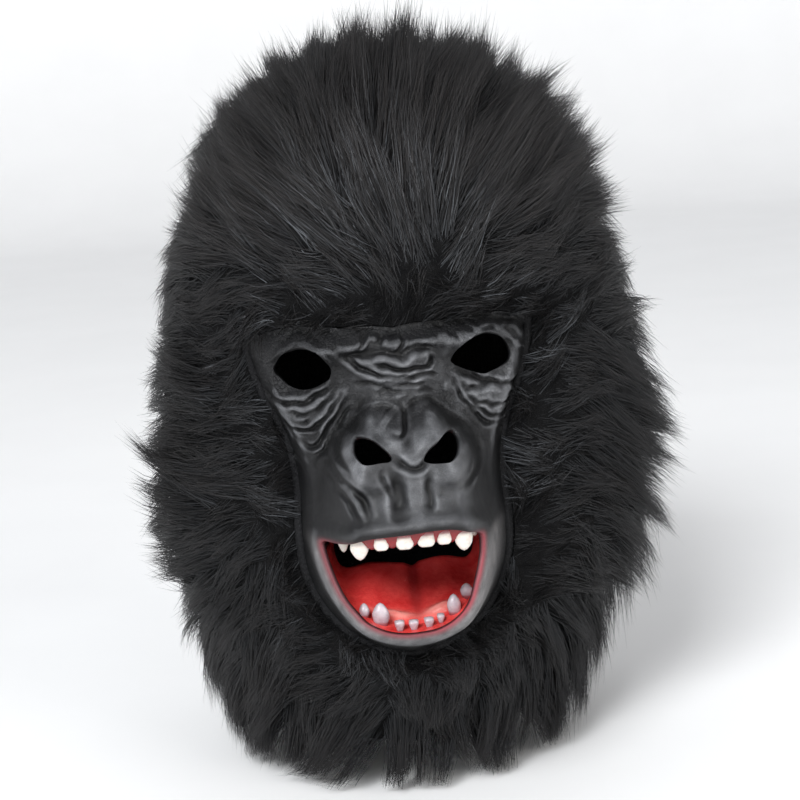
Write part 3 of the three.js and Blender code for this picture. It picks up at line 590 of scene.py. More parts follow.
def hollow_front(x, z):
    """The front of the head's hollow over a place in X and Z."""
    places = np.linspace(0, 1, 2001)
    t = np.interp(-z / HOOD_H, section(0, places), places)
    forward = np.sqrt(np.maximum(0.01, 1 - (x / (section(1, t) * HOLLOW_W / 2)) ** 2))
    return -(section(2, t) * HOLLOW_D / 2 + hood_push(x, z)) * forward


def from_eye_line(outline):
    """An outline in the hood's own heights."""
    return np.asarray(outline, float) - (0, EYE_DOWN)


def smooth_run(before, here, after, later, steps):
    """Steps on the smooth curve from each point to the one after it."""
    s = np.linspace(0, 1, steps, endpoint=False)[:, None, None]
    curve = 0.5 * (
        2 * here + (after - before) * s + (2 * before - 5 * here + 4 * after - later) * s**2
        + (3 * here - before - 3 * after + later) * s**3
    )
    return curve.transpose(1, 0, 2).reshape(-1, 2)


def rounded(outline):
    """A closed outline with its corners drawn into a smooth curve."""
    p = np.asarray(outline, float)
    return smooth_run(np.roll(p, 1, axis=0), p, np.roll(p, -1, axis=0), np.roll(p, -2, axis=0), 8)


mouth_outline = rounded(from_eye_line(MOUTH))


def hump(value, middle, wide):
    """1 at the middle, and less and less on both sides."""
    return np.exp(-(((value - middle) / wide) ** 2))


def lip_form(x, z):
    """The roll of the lips round the mouth."""
    gap = outline_gap(np.ravel(x), np.ravel(z), mouth_outline).reshape(np.shape(x))
    return LIP_ROLL * hump(gap, 3.2, 3)


def face_base(x, z):
    """The front of the face without its folds."""
    down = (-EYE_DOWN - z) / FACE_H
    push = hood_push(x, z)
    half = curve_at(MUZZLE_SECTIONS, 2, down) * FACE_W / 2
    across = 1 - smooth(0.5, 1.12, np.abs(x) / half)
    muzzle = curve_at(MUZZLE_SECTIONS, 1, down) * MUZZLE_OUT * across
    plain = push + FACE_PROUD
    most = (plain + muzzle + np.hypot(plain - muzzle, 6)) / 2
    lean = 1.6 * smooth(0.08, 0.16, down) * (1 - smooth(0.42, 0.5, down))
    for side, low, wide, tall, out in FACE_FORMS:
        for middle in {side, -side}:
            across = ((x - lean) / (FACE_W / 2) - middle) / wide
            most = most + out * MUZZLE_OUT * bump(across, (down - low) / tall)
    lift = (most - push + lip_form(x, z)) * (1 - smooth(0.86, 1, face_share(x, z)))
    return hollow_front(x, z) - KNIT - lift


def drawn(points):
    """An open line of points drawn into a smooth curve."""
    p = np.asarray(points, float)
    p = np.vstack((2 * p[0] - p[1], p, 2 * p[-1] - p[-2]))
    return np.vstack((smooth_run(p[:-3], p[1:-2], p[2:-1], p[3:], 5), p[-2]))


def fold_form(x, z):
    """The folds of the face, which fade out towards their ends. A groove has low banks."""
    out = np.zeros(len(x))
    for half_width, depth, *line in FOLDS:
        wide, height = FOLD_WIDTH * half_width, FOLD_DEPTH * depth
        path = drawn(line) - (0, EYE_DOWN)
        low, high = path.min(axis=0) - 3 * wide, path.max(axis=0) + 3 * wide
        near = np.flatnonzero((x > low[0]) & (x < high[0]) & (z > low[1]) & (z < high[1]))
        start, run = path[:-1], np.diff(path, axis=0)
        points = np.stack((x[near], z[near]), axis=-1)[:, None, :]
        along = np.clip(((points - start) * run).sum(-1) / np.maximum((run**2).sum(-1), 1e-9), 0, 1)
        far = np.linalg.norm(points - start - along[..., None] * run, axis=-1)
        best = far.argmin(axis=1)
        rows = np.arange(len(near))
        place = (best + along[rows, best]) / len(run)
        fade = np.minimum(1, 0.25 + 3.5 * np.minimum(place, 1 - place))
        gap = far[rows, best] / wide
        banks = BANK_H * hump(gap, BANK_AT, BANK_W) if height < 0 else 0
        out[near] += height * fade * (hump(gap, 0, 1) - banks)
    return out


def soften(values, radius):
    """A grid of values blurred by a radius in cells."""
    reach = int(3 * radius)
    weights = np.exp(-0.5 * (np.arange(-reach, reach + 1) / radius) ** 2)
    weights /= weights.sum()
    for axis in (0, 1):
        padded = np.pad(values, [(reach, reach) if a == axis else (0, 0) for a in (0, 1)], mode="edge")
        values = sum(
            w * np.take(padded, np.arange(k, k + values.shape[axis]), axis=axis)
            for k, w in enumerate(weights)
        )
    return values


# A fine grid over the face, with how far each point is inside the latex
x_line = np.arange(-GRID_HALF_W, GRID_HALF_W + FACE_STEP, FACE_STEP)
z_line = np.arange(GRID_UP - EYE_DOWN, FACE_MIDDLE - 0.61 * FACE_H, -FACE_STEP)
grid_x, grid_z = np.meshgrid(x_line, z_line)
shape = grid_x.shape
x, z = grid_x.ravel(), grid_z.ravel()
from_eyes = z + EYE_DOWN
lip_gap = outline_gap(x, z, mouth_outline)
inside = np.minimum(-outline_gap(x, z, face_outline(0)), lip_gap)
for outline in (LEFT_EYE, RIGHT_EYE, LEFT_NOSTRIL, RIGHT_NOSTRIL):
    inside = np.minimum(inside, outline_gap(x, z, rounded(from_eye_line(outline))))

# The form of its outside, and what the paint follows: crests of the form for the grey brush and
# hollows of it for painted shade, the brush and its painted shade, the worn grey of the lower lip
# and the pink that the red of the mouth leaves at its edge
rng = np.random.default_rng(7)
stray_x, stray_z, crinkle, swelling = (
    soften(rng.standard_normal(shape), radius).ravel() * amount for radius, amount in SKIN_NOISE
)
folds = fold_form(x + stray_x, z + stray_z)
rough_skin = smooth(-46, -14, from_eyes) * (0.5 + 0.5 * smooth(12, 30, np.abs(x)))
y = face_base(x, z) - folds - (crinkle + swelling) * rough_skin
out = -y.reshape(shape)
fine = (out - soften(out, 2.6)).ravel()
broad = (out - soften(out, 8)).ravel()
# The grey brush, taken off where amounts are below 0: painted shade at the top of the brow and over the
# left eye
brush_and_shade = np.zeros(len(x))
for middle, height, wide, tall, amount in BRUSH_AND_SHADE:
    brush_and_shade += amount * hump(x, middle, wide) * hump(from_eyes, height, tall)
lip_wide = 2.2 + 2.8 * smooth(4, 26, x)
below = smooth(-62, -70, from_eyes)
lip_worn = 0.3 + 0.24 * smooth(-8, -24, x) + 0.5 * smooth(8, 26, x)
lip = hump(lip_gap, lip_wide, lip_wide) * below * lip_worn
pink = hump(lip_gap, 0, 1.2) * smooth(-58, -66, from_eyes) * (0.55 + 0.35 * smooth(0, 20, x))

# The way out of the face there, which the inside of its wall follows
slope_z, slope_x = np.gradient(soften(y.reshape(shape), 3), -FACE_STEP, FACE_STEP)
outward = unit(np.stack((slope_x.ravel(), -np.ones(len(x)), slope_z.ravel()), axis=-1))


def paint(tree, shader, colour, patches, smoothest, roughest):
    """Gives a shader its colour, and a roughness that follows the patches."""
    tree.links.new(colour, shader.inputs["Base Color"])
    tree.links.new(ramp(tree, patches, 0, 1, smoothest, roughest), shader.inputs["Roughness"])


latex, tree, shader = new_material(
    "black_latex", IOR=1.5, Specular_IOR_Level=0.26, Coat_Weight=0.06, Coat_Roughness=0.25
)
patches, grain = add_mottle(tree, 180.0, 2600.0)
crest = ramp(tree, own_value(tree, "relief"), 0.05, 1.2)
# Painted shade: the hollows of the form are painted darker than the black of the latex
painted_groove_shade = ramp(tree, own_value(tree, "relief"), -0.08, -0.9)
worn = count(tree, "MULTIPLY_ADD", patches, 0.6, 0.4)
grey_share = count(tree, "MULTIPLY_ADD", crest, 0.8, own_value(tree, "brush_and_shade"))
grey_share = count(tree, "MULTIPLY", grey_share, worn)
grey_share = count(tree, "MULTIPLY", grey_share, ramp(tree, grain, 0.35, 0.65, 0.75, 1.2))
grey_share = node(
    tree, "ShaderNodeMath", {0: grey_share, 1: count(tree, "SUBTRACT", 1.0, painted_groove_shade)},
    operation="MULTIPLY", use_clamp=True,
)
# The black of the latex, painted darker still in the hollows as painted shade
black = blend_colour(tree, painted_groove_shade, (0.007, 0.007, 0.0078), (0.0015, 0.0015, 0.0018))
colour = blend_colour(tree, grey_share.outputs[0], black, (0.175, 0.178, 0.188))
lip_colour = blend_colour(tree, patches, (0.1, 0.1, 0.1), (0.3, 0.28, 0.28))
colour = blend_colour(tree, own_value(tree, "lip"), colour, lip_colour)
colour = blend_colour(tree, own_value(tree, "pink"), colour, (0.3, 0.05, 0.065))
paint(tree, shader, colour, patches, 0.38, 0.54)
cracks = node(tree, "ShaderNodeTexVoronoi", {
    "Vector": node(tree, "ShaderNodeTexCoord").outputs["Object"], "Scale": 560.0, "Randomness": 1.0,
}, feature="DISTANCE_TO_EDGE")
leather = own_value(tree, "leather")
height = count(tree, "MULTIPLY_ADD", ramp(tree, cracks.outputs["Distance"], 0, 0.14), leather, grain)
add_bump(tree, shader, height, 0.00035, 0.8)

inner_faces, *added = cut_along(inside, grid_faces(*shape))
points = with_cut(np.stack((x, y, z), axis=-1), *added)
inner = points - LATEX * with_cut(outward, *added)
ahead_by = len(points)
edges = {edge for face in inner_faces for edge in zip(face, face[1:] + face[:1])}
rims = [(a, b, b + ahead_by, a + ahead_by) for a, b in edges if (b, a) not in edges]
outer_faces = [face[::-1] for face in inner_faces]
inner_faces = [tuple(point + ahead_by for point in face) for face in inner_faces]
wall_faces = outer_faces + inner_faces + rims
face = new_piece("face_latex", np.concatenate((points, inner)), wall_faces, latex, {
    label: np.concatenate((with_cut(values, *added), np.zeros(ahead_by)))
    for label, values in (
        ("relief", fine * 0.9 + np.clip(broad, -1, 1) * 0.22), ("brush_and_shade", brush_and_shade), ("lip", lip),
        ("pink", pink), ("leather", rough_skin),
    )
})
close_up(face, merge=2e-5)
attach(face, "root")
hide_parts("face")


# The gum behind the upper lip and the floor of the mouth behind the lower one are latex too,
# painted red and varnished. The floor ends in a wavy edge, open to the inside of the hood. Their
# red is painted darker towards the back, the corners and the furrow, and all over the gum, as
# painted shade, and the ridges and front of the floor carry a paler painted highlight.
GUM_H, GUM_D = 9, 7
FLOOR_DEEP, FLOOR_RISE, FLOOR_SAG, FLOOR_BOW = 30, 18, 7, 12
MOUTH_WALL, FLOOR_WALL = 2.6, 1.6
MOUTH_TOP = MOUTH_MIDDLE + MOUTH_H / 2
MOUTH_EDGE = np.array((
    (0, 1), (33, 1.16), (52, 1.25), (73, 1.05), (106, 0.95), (139, 0.95), (162, 1), (180, 1),
))


def behind_face(x, z, deep):
    """The place behind a point of the face that lies that deep under its outside."""
    step = 0.8
    tilt = (face_base(x + step, z) - face_base(x - step, z)) / (2 * step)
    lean = (face_base(x, z + step) - face_base(x, z - step)) / (2 * step)
    return np.stack((x, face_base(x, z) + deep * np.sqrt(1 + tilt**2 + lean**2), z), axis=-1)


def gum_point(share):
    """A point of the gum's middle line, by its share of the way to the corner of the mouth."""
    z = MOUTH_TOP + 0.45 * GUM_H - 0.2 * GUM_H * share**2
    return behind_face(share * MOUTH_W / 2, z, MOUTH_WALL + 2 * CLEAR + GUM_D / 2)


def floor_point(across, back, deep):
    """The scoop: across 0 to 1 from corner to corner, back 0 at the lip and 1 at the wavy edge."""
    turn = np.radians(-108 + 216 * across)
    sideways, down = np.sin(turn), -np.cos(turn)
    reach = 1.06 * curve_at(MOUTH_EDGE, 1, np.degrees(np.arctan2(np.abs(sideways), down)))
    lip_x = reach * MOUTH_W * sideways / 2
    lip_z = MOUTH_MIDDLE + reach * MOUTH_H * down / 2
    lip_line = behind_face(lip_x, lip_z, MOUTH_WALL + 2 * CLEAR + deep)
    middle = 1 - (2 * across - 1) ** 2
    wave = 0.05 * FLOOR_RISE * np.cos(6 * np.pi * (across - 0.5))
    lift = MOUTH_MIDDLE - MOUTH_H / 2 + FLOOR_RISE
    jaw = hollow_front(np.zeros(1), np.full(1, MOUTH_MIDDLE))[0]
    edge_y = jaw + JAW_OUT + MUZZLE_OUT - MOUTH_WALL - FLOOR_DEEP - FLOOR_BOW * middle
    edge = np.stack((
        0.86 * lip_x,
        np.maximum(edge_y, lip_line[..., 1] + 0.5 * FLOOR_DEEP),
        lip_z + (lift - lip_z) * (0.3 + 0.7 * middle) - wave - deep,
    ), axis=-1)
    point = lip_line + (edge - lip_line) * back[..., None]
    point[..., 2] -= FLOOR_SAG * middle * np.sin(np.pi * back)
    return point


red_varnish, tree, shader = new_material(
    "red_varnish", IOR=1.5, Specular_IOR_Level=0.3, Coat_Weight=0.5, Coat_Roughness=0.08,
    Subsurface_Weight=0.06, Subsurface_Scale=0.002,
)
patches, grain = add_mottle(tree, 130.0, 700.0)
colour = blend_colour(tree, patches, (0.62, 0.026, 0.026), (0.86, 0.085, 0.075))
# Painted shade: a darker red where the mouth is deep
colour = blend_colour(tree, own_value(tree, "deep"), colour, (0.2, 0.009, 0.011))
# Painted highlight: a paler red on the ridges and along the front of the floor
painted_glint_share = count(
    tree, "MULTIPLY", own_value(tree, "painted_glint"), count(tree, "MULTIPLY_ADD", patches, 0.6, 0.4)
)
colour = blend_colour(tree, painted_glint_share, colour, (0.92, 0.42, 0.36))
paint(tree, shader, colour, patches, 0.14, 0.28)
add_bump(tree, shader, grain, 0.0009, 0.45)

across, back = np.meshgrid(np.linspace(0, 1, 110), np.linspace(0, 1, 44))
shape = across.shape
place = floor_point(across, back, np.zeros(shape))
furrow = -1.6 * hump(across, 0.52, 0.02) * smooth(0.3, 0.8, back)
ridges = 2.0 * hump(back, 0.5, 0.045) * (hump(across, 0.43, 0.06) + hump(across, 0.6, 0.05))
swell = 0.5 * np.sin(24 * across + 5 * back) * np.sin(9 * back) * (1 - np.abs(2 * across - 1))
groove = 1.2 * hump(back, 0.41, 0.03)
place[..., 2] += furrow + ridges + swell
place[..., 2] -= groove
# Painted shade: darker towards the back, into the corners and along the furrow
deep = 0.5 * smooth(0.55, 1, back) + 0.4 * smooth(0.7, 1, np.abs(2 * across - 1))
deep += 0.4 * np.clip(-furrow, 0, 1)
# Painted highlight on the ridges and along the front of the floor
painted_glint = 0.8 * np.clip(ridges, 0, 1) + 0.15 * hump(back, 0.02, 0.06)
mouth_floor = new_piece("mouth_floor_red", place, grid_faces(*shape), red_varnish, {
    "deep": deep.ravel(), "painted_glint": painted_glint.ravel(),
})
close_up(mouth_floor, merge=1e-7)
# The wall goes down from the red side, so the faces have to look up
if np.mean([polygon.normal.z for polygon in mouth_floor.data.polygons]) < 0:
    mouth_floor.data.flip_normals()
give_wall(mouth_floor, FLOOR_WALL * 0.001)
apply_all(mouth_floor)


def rings_at(places, corners):
    """Each place for every corner of its ring, and the turn of that corner."""
    turn = np.linspace(0, 2 * np.pi, corners, endpoint=False)
    return np.repeat(places, corners), np.tile(turn, len(places))


corners, columns = 24, 90
share, turn = rings_at(np.linspace(-0.96, 0.96, columns), corners)
place = gum_point(share)
taper = np.sqrt(np.clip(1 - (np.abs(share) / 0.965) ** 8, 0, 1))
festoon = 1 + 0.12 * np.cos(np.pi * share / 0.12) * np.clip(-np.cos(turn), 0, 1)
place[:, 1] += taper * GUM_D / 2 * np.sin(turn)
place[:, 2] += taper * GUM_H / 2 * np.cos(turn) * festoon * np.where(np.cos(turn) < 0, 1.7, 1)
gum = new_piece("upper_gum_red", place, grid_faces(columns, corners, joined=True), red_varnish, {
    # The gum is in the darker red of the painted shade all over, with no painted highlight
    "deep": np.ones(len(place)), "painted_glint": np.zeros(len(place)),
})
close_up(gum, merge=2e-5)
for piece, solid in ((mouth_floor, "mouth_floor"), (gum, "upper_gum")):
    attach(piece, "root")
    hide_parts(solid)


# Sixteen small teeth stand in the latex of the mouth: squarish ones in front, a pointed one on
# each side and stumps in the corners, painted ivory above and cool grey-white below.
INCISOR_W, INCISOR_H, CANINE_H, TOOTH_D = 6.4, 5.2, 8.6, 5
# From the viewer's left: place across the mouth, width, height, and whether it is pointed
UPPER_TEETH = (
    (-0.81, 0.76, 1.15, True), (-0.63, 1.14, 1.02, True), (-0.37, 0.92, 1, False),
    (-0.09, 1.08, 1.05, False), (0.17, 1.08, 1.05, False), (0.39, 0.92, 1, False),
    (0.63, 1.1, 0.95, True), (0.82, 0.72, 0.95, True),
)
# The same for the lower ones, which stand at different depths over the floor of the mouth
LOWER_TEETH = (
    (-0.44, 0.66, 0.6, True), (-0.27, 1.1, 1, True), (-0.12, 0.72, 0.8, False),
    (-0.01, 0.72, 0.8, False), (0.11, 0.72, 0.8, False), (0.21, 0.56, 0.7, False),
    (0.35, 0.9, 0.9, True), (0.54, 0.85, 0.6, True),
)
LOWER_DEPTHS = (0.37, 0.33, 0.24, 0.25, 0.26, 0.29, 0.35, 0.44)

tooth_paints = []
for name, root_colour, tip_colour in (
    ("ivory_enamel", (0.45, 0.38, 0.33), (0.68, 0.63, 0.58)),
    ("cool_enamel", (0.3, 0.25, 0.29), (0.54, 0.48, 0.51)),
):
    enamel, tree, shader = new_material(
        name, IOR=1.5, Coat_Weight=0.5, Coat_Roughness=0.12, Subsurface_Weight=0.08,
        Subsurface_Scale=0.001,
    )
    patches, grain = add_mottle(tree, 420.0, 1500.0)
    tip_share = count(
        tree, "MULTIPLY", own_value(tree, "tip"), count(tree, "MULTIPLY_ADD", patches, 0.5, 0.6)
    )
    colour = blend_colour(tree, tip_share, root_colour, tip_colour)
    colour = blend_colour(tree, own_value(tree, "rim"), colour, (0.24, 0.03, 0.04))
    paint(tree, shader, colour, patches, 0.22, 0.4)
    add_bump(tree, shader, grain, 0.0003, 0.7)
    tooth_paints.append(enamel)


def make_tooth(name, root, wide, tall, down, pointed, enamel, turn_by):
    """A tooth from its root up or down, 1 or -1, with a squarish or a pointed crown."""
    corners, rings = 24, 15
    high, turn = rings_at(np.linspace(-0.35, 1, rings), corners)
    square = 0.85 if pointed else 0.62
    across = np.sign(np.cos(turn)) * np.abs(np.cos(turn)) ** square
    through = np.sign(np.sin(turn)) * np.abs(np.sin(turn)) ** square
    crown = np.clip(high, 0, 1)
    if pointed and down < 0:
        wider = (1 - crown**4) ** 0.6 * (0.82 + 0.18 * np.sin(np.pi * np.clip(high + 0.15, 0, 1)))
    elif pointed:
        wider = (1 - crown**3.6) ** 0.55 * (0.72 + 0.28 * np.sin(np.pi * np.clip(high + 0.1, 0, 1)))
    elif down > 0:
        wider = (1 - crown**8) ** 0.5 * (0.55 + 0.5 * crown)
    else:
        wider = (1 - crown**7) ** 0.5 * (0.93 + 0.07 * crown)
    foot = np.sqrt(np.clip(1 - (np.clip(-high, 0, 1) / 0.36) ** 3, 0, 1))
    lump = 1 + 0.03 * np.sin(5 * turn + 7 * high + turn_by) + 0.02 * np.sin(11 * high - 3 * turn)
    reach = wider * foot * lump
    x = across * reach * wide / 2
    y = through * reach * TOOTH_D / 2
    ahead, aside = math.cos(0.1 * turn_by), math.sin(0.1 * turn_by)
    points = np.asarray(root) + np.stack((
        x * ahead - y * aside, y * ahead + x * aside, high * tall * down,
    ), axis=-1)
    faces = grid_faces(rings, corners, joined=True).tolist()
    faces += [range(corners), range((rings - 1) * corners, rings * corners)]
    tooth = new_piece(name, points, faces, enamel, {
        "tip": np.clip(0.35 + 0.9 * high, 0, 1), "rim": 0.9 * (1 - smooth(-0.02, 0.14, high)),
    })
    close_up(tooth)
    return tooth


for row, teeth in enumerate((UPPER_TEETH, LOWER_TEETH)):
    for i, (at, wide, tall, pointed) in enumerate(teeth):
        wide *= INCISOR_W
        tall *= CANINE_H if pointed else INCISOR_H
        if row == 0:
            root = gum_point(np.full(1, at))[0] + (0, (TOOTH_D - GUM_D) / 2, -0.42 * GUM_H)
            name, enamel, down = "upper_tooth", tooth_paints[0], -1
        else:
            across, back = np.full(1, 0.5 + 0.42 * at), np.full(1, LOWER_DEPTHS[i])
            root = floor_point(across, back, np.zeros(1))[0]
            name, enamel, down = "lower_tooth", tooth_paints[1], 1
        turn_by = math.sin(3 * i + row)
        tooth = make_tooth(f"{name}_{i + 1}_enamel", root, wide, tall, down, pointed, enamel, turn_by)
        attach(tooth, "root")
        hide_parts(f"{name}_{i + 1}")


# The fur is a long black pile on the knitted hood, brushed up from the brow and out from the
# cheeks and the jaw. Under the long hairs, which hang together in pointed tufts, is a dense nap.
PILE, CLIPPED, LONGEST, LEAST_RISE = 44, 13, 55, 2.5
NAP_THIN, NAP_THICK = 0.3, 1.7
# How far to the right of the middle the fur parts over the face
PARTING = 5
# The hairs themselves are made in metres
HAIR_WIDE, SCATTER, CURL, LOWEST = 0.0003, 0.003, 0.014, -0.2935
TUFTS_PER_M2 = 8500
HAIR_BENDS = 4
TRIANGLES_A_HAIR = 2 * (HAIR_BENDS - 1) - 1
TRIANGLES_A_FIELD = 152000
# Name, and where it starts and ends round the head in degrees from the front, and down it
FUR_FIELDS = (
    ("forehead", -90, 90, 0, 0.36),
    ("crown", 90, 270, 0, 0.36),
    ("left_cheek", 180, 360, 0.36, 0.8),
    ("right_cheek", 0, 180, 0.36, 0.8),
    ("beard", -180, 180, 0.8, 1),
)
# Down the hood as a share of its height, how far the fur has been pushed over to one side
FUR_LEAN = np.array(((0, 11), (0.3, 12), (0.5, 12.5), (0.64, 12), (0.74, 7), (0.82, 1), (1, 0)))


def fur_share(points):
    """How much of its length the fur has: little beside the face, where it is clipped."""
    front = smooth(0, 0.3 * HOLLOW_D, -points[:, 1])
    return 1 - front * (1 - smooth(1, 1.75, face_share(points[:, 0], points[:, 2])))


def fur_lie(points, normals, t):
    """The way the fur is brushed: away from the middle of the face, and down the back."""
    lie = points - (PARTING, -HOLLOW_D / 2, 0)
    lie[:, 2] -= np.clip(points[:, 2], -EYE_DOWN - 60, -EYE_DOWN + 16)
    lie = unit(lie)
    behind = smooth(-0.25 * HOLLOW_D, 0.4 * HOLLOW_D, points[:, 1])
    cheek = smooth(10, 70, points[:, 0]) * smooth(-95, -125, points[:, 2])
    lie[:, 2] -= 0.12 + 1.5 * behind + 0.9 * smooth(0.76, 0.95, t) + 0.45 * cheek
    spread = smooth(0.82, 1, t) * smooth(50, -10, points[:, 1])
    lie[:, 0] += 1.3 * spread * np.clip(points[:, 0] / 30, -1, 1)
    lie[:, 1] -= 1.2 * spread
    return unit(lie - (lie * normals).sum(axis=1, keepdims=True) * normals)


nap_black, tree, shader = new_material("nap_black", Roughness=0.95, Specular_IOR_Level=0.1)
patches, grain = add_mottle(tree, 160.0, 1400.0)
tree.links.new(
    blend_colour(tree, patches, (0.003, 0.003, 0.0034), (0.007, 0.0068, 0.007)), shader.inputs["Base Color"]
)
add_bump(tree, shader, grain, 0.002, 0.9)

fur_black, tree, shader = new_material("fur_black", IOR=1.5, Specular_Tint=(0.88, 0.93, 1, 1))
lot = {"W": own_value(tree, "strand")}
dye = node(tree, "ShaderNodeTexWhiteNoise", lot, noise_dimensions="1D").outputs["Value"]
hair_colour = blend_colour(tree, dye, (0.002, 0.0019, 0.002), (0.0095, 0.009, 0.0088))
# Painted sheen: the hairs are painted lighter towards their tips
tip_colour = blend_colour(tree, dye, (0.005, 0.0045, 0.0043), (0.034, 0.029, 0.0265))
hair_colour = blend_colour(tree, own_value(tree, "along"), hair_colour, tip_colour)
# Painted shade: hairs on the crown and from the cheeks down are darkened and made less glossy
shaded = own_value(tree, "shade")
darkened = count(tree, "MULTIPLY", shaded, 0.4)
paint(tree, shader, blend_colour(tree, darkened, hair_colour, (0.001, 0.001, 0.0012)), dye, 0.38, 0.55)
tree.links.new(ramp(tree, shaded, 0, 1, 0.36, 0.27), shader.inputs["Specular IOR Level"])

columns, rows = 132, 96
turn, t = hood_grid(columns, rows)
skin, normals = hood_place(turn, t), hood_normal(turn, t)
share = fur_share(skin)
hem = smooth(0.84, 1, t)
reach = section(4, t) * PILE * (0.3 + 0.7 * share)
at_front = skin[:, 1] < 0
gap = outline_gap(skin[:, 0], skin[:, 2], face_outline(0.5))
edge = np.where(at_front, smooth(0, 8, gap), 1)
nap = NAP_THIN + edge * (NAP_THICK + 0.5 * np.maximum(0, reach - 4) * (1 - 0.6 * hem))
lean = np.interp(t, FUR_LEAN[:, 0], FUR_LEAN[:, 1]) * edge
coat = skin + (KNIT + CLEAR + nap)[:, None] * normals
coat[:, 0] += 0.5 * lean
coat[t == 0] = coat[t == 0].mean(axis=0)
open_face = at_front & (gap < 0)
coat_faces = grid_faces(rows, columns, joined=True)
nap_faces, *added = cut_along(np.where(at_front, gap, HOOD_H), coat_faces)
nap_piece = new_piece("fur_nap", with_cut(coat, *added), nap_faces, nap_black)
close_up(nap_piece)
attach(nap_piece, "root")
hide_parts("fur")

# Each place on the coat has the way that its hairs go along it, and how far they rise from it
long_hair = (CLIPPED + (LONGEST - CLIPPED) * share) * (1 - 0.1 * hem)
rise = np.maximum(LEAST_RISE, reach - nap)
sweep = fur_lie(skin, normals, t) * np.sqrt(np.maximum(16, long_hair**2 - rise**2))[:, None]
sweep *= (-0.12 + 1.12 * np.where(at_front, smooth(-2, 13, gap), 1))[:, None]
sweep[:, 0] += 0.5 * lean * share
# Hairs hang together less on the forehead. Everywhere but the forehead the hairs carry painted
# shade, darker and less glossy on the crown and from the cheeks down
clumped = 0.6 + 0.4 * smooth(0.3, 0.45, t)
shade = np.maximum(smooth(0.3, 0.45, t), 0.9 * smooth(0.34, 0.2, t))

hairs, given = new_group("brushed_hairs", "GeometryNodeTree", {
    "Coat": "Geometry", "Tufts per square metre": "Float", "Hairs per square metre": "Float",
    "Bends": "Int", "Hair width": "Float", "Curl": "Float", "Lowest": "Float", "Hair": "Material",
    "Seed": "Int",
}, {"Geometry": "Geometry"})


def from_node(kind, inputs=(), **settings):
    """The first output of a new node in the hairs' tree."""
    return node(hairs, kind, inputs, **settings).outputs[0]


def named(label, kind="FLOAT"):
    return from_node("GeometryNodeInputNamedAttribute", {"Name": label}, data_type=kind)


def store(geometry, label, value, kind="FLOAT", domain="POINT"):
    inputs = {"Geometry": geometry, "Name": label, "Value": value}
    return from_node("GeometryNodeStoreNamedAttribute", inputs, data_type=kind, domain=domain)


def vary(low, high, seed):
    """A number between two others, drawn for each point."""
    inputs = {2: low, 3: high, "Seed": seed}
    return node(hairs, "FunctionNodeRandomValue", inputs, data_type="FLOAT").outputs[1]


def times(value, *factors):
    for factor in factors:
        value = count(hairs, "MULTIPLY", value, factor)
    return value


def scaled(vector, factor):
    return from_node("ShaderNodeVectorMath", {0: vector, "Scale": factor}, operation="SCALE")


def combined(operation, first, second):
    return from_node("ShaderNodeVectorMath", {0: first, 1: second}, operation=operation)


def together(*vectors):
    total = vectors[0]
    for vector in vectors[1:]:
        total = combined("ADD", total, vector)
    return total


def one_long(vector):
    return from_node("ShaderNodeVectorMath", {0: vector}, operation="NORMALIZE")


# The tufts: places on the coat, each with its own sweep and lift
position = from_node("GeometryNodeInputPosition")
sweep_given, lift_given = named("sweep", "FLOAT_VECTOR"), named("lift", "FLOAT_VECTOR")
tufts = from_node("GeometryNodeDistributePointsOnFaces", {
    "Mesh": given["Coat"], "Density": given["Tufts per square metre"], "Seed": given["Seed"],
})
straying = from_node("ShaderNodeTexNoise", {"Vector": position, "Scale": 24.0, "Detail": 2.0})
aside = times(count(hairs, "SUBTRACT", straying, 0.5), 0.09)
aside = count(hairs, "ADD", aside, vary(-0.009, 0.009, 11))
crossways = one_long(combined("CROSS_PRODUCT", lift_given, sweep_given))
tuft_sweep = together(scaled(sweep_given, vary(0.8, 1.12, 12)), scaled(crossways, aside))
tuft_lift = scaled(lift_given, vary(0.35, 1.0, 13))

# The roots of the hairs, each with what it takes from the nearest tuft and what is its own
points = from_node("GeometryNodeDistributePointsOnFaces", {
    "Mesh": given["Coat"], "Density": given["Hairs per square metre"],
    "Seed": count(hairs, "ADD", given["Seed"], 50),
})
own_tuft = from_node("GeometryNodeSampleNearest", {"Geometry": tufts, "Sample Position": position})


def of_tuft(value):
    inputs = {"Geometry": tufts, "Value": value, "Index": own_tuft}
    return from_node("GeometryNodeSampleIndex", inputs, data_type="FLOAT_VECTOR")


astray = times(count(hairs, "GREATER_THAN", vary(0.0, 1.0, 25), 0.96), 0.14)
scatter = from_node("FunctionNodeRandomValue", {
    0: (-SCATTER, -SCATTER, -SCATTER), 1: (SCATTER, SCATTER, SCATTER), "Seed": 27,
}, data_type="FLOAT_VECTOR")
facing = together(crossways, scaled(one_long(lift_given), vary(-1.1, 1.1, 24)))
for label, value, kind in (
    ("to_tuft", combined("SUBTRACT", of_tuft(position), position), "FLOAT_VECTOR"),
    ("tuft_sweep", of_tuft(tuft_sweep), "FLOAT_VECTOR"),
    ("tuft_lift", of_tuft(tuft_lift), "FLOAT_VECTOR"),
    ("root", position, "FLOAT_VECTOR"),
    ("reach", count(hairs, "ADD", vary(0.62, 1.06, 21), astray), "FLOAT"),
    ("gather", count(hairs, "POWER", vary(0.12, 0.97, 22), 0.6), "FLOAT"),
    ("strand", vary(0.0, 1.0, 23), "FLOAT"),
    ("scatter", scatter, "FLOAT_VECTOR"),
    ("facing", one_long(facing), "FLOAT_VECTOR"),
):
    points = store(points, label, value, kind)

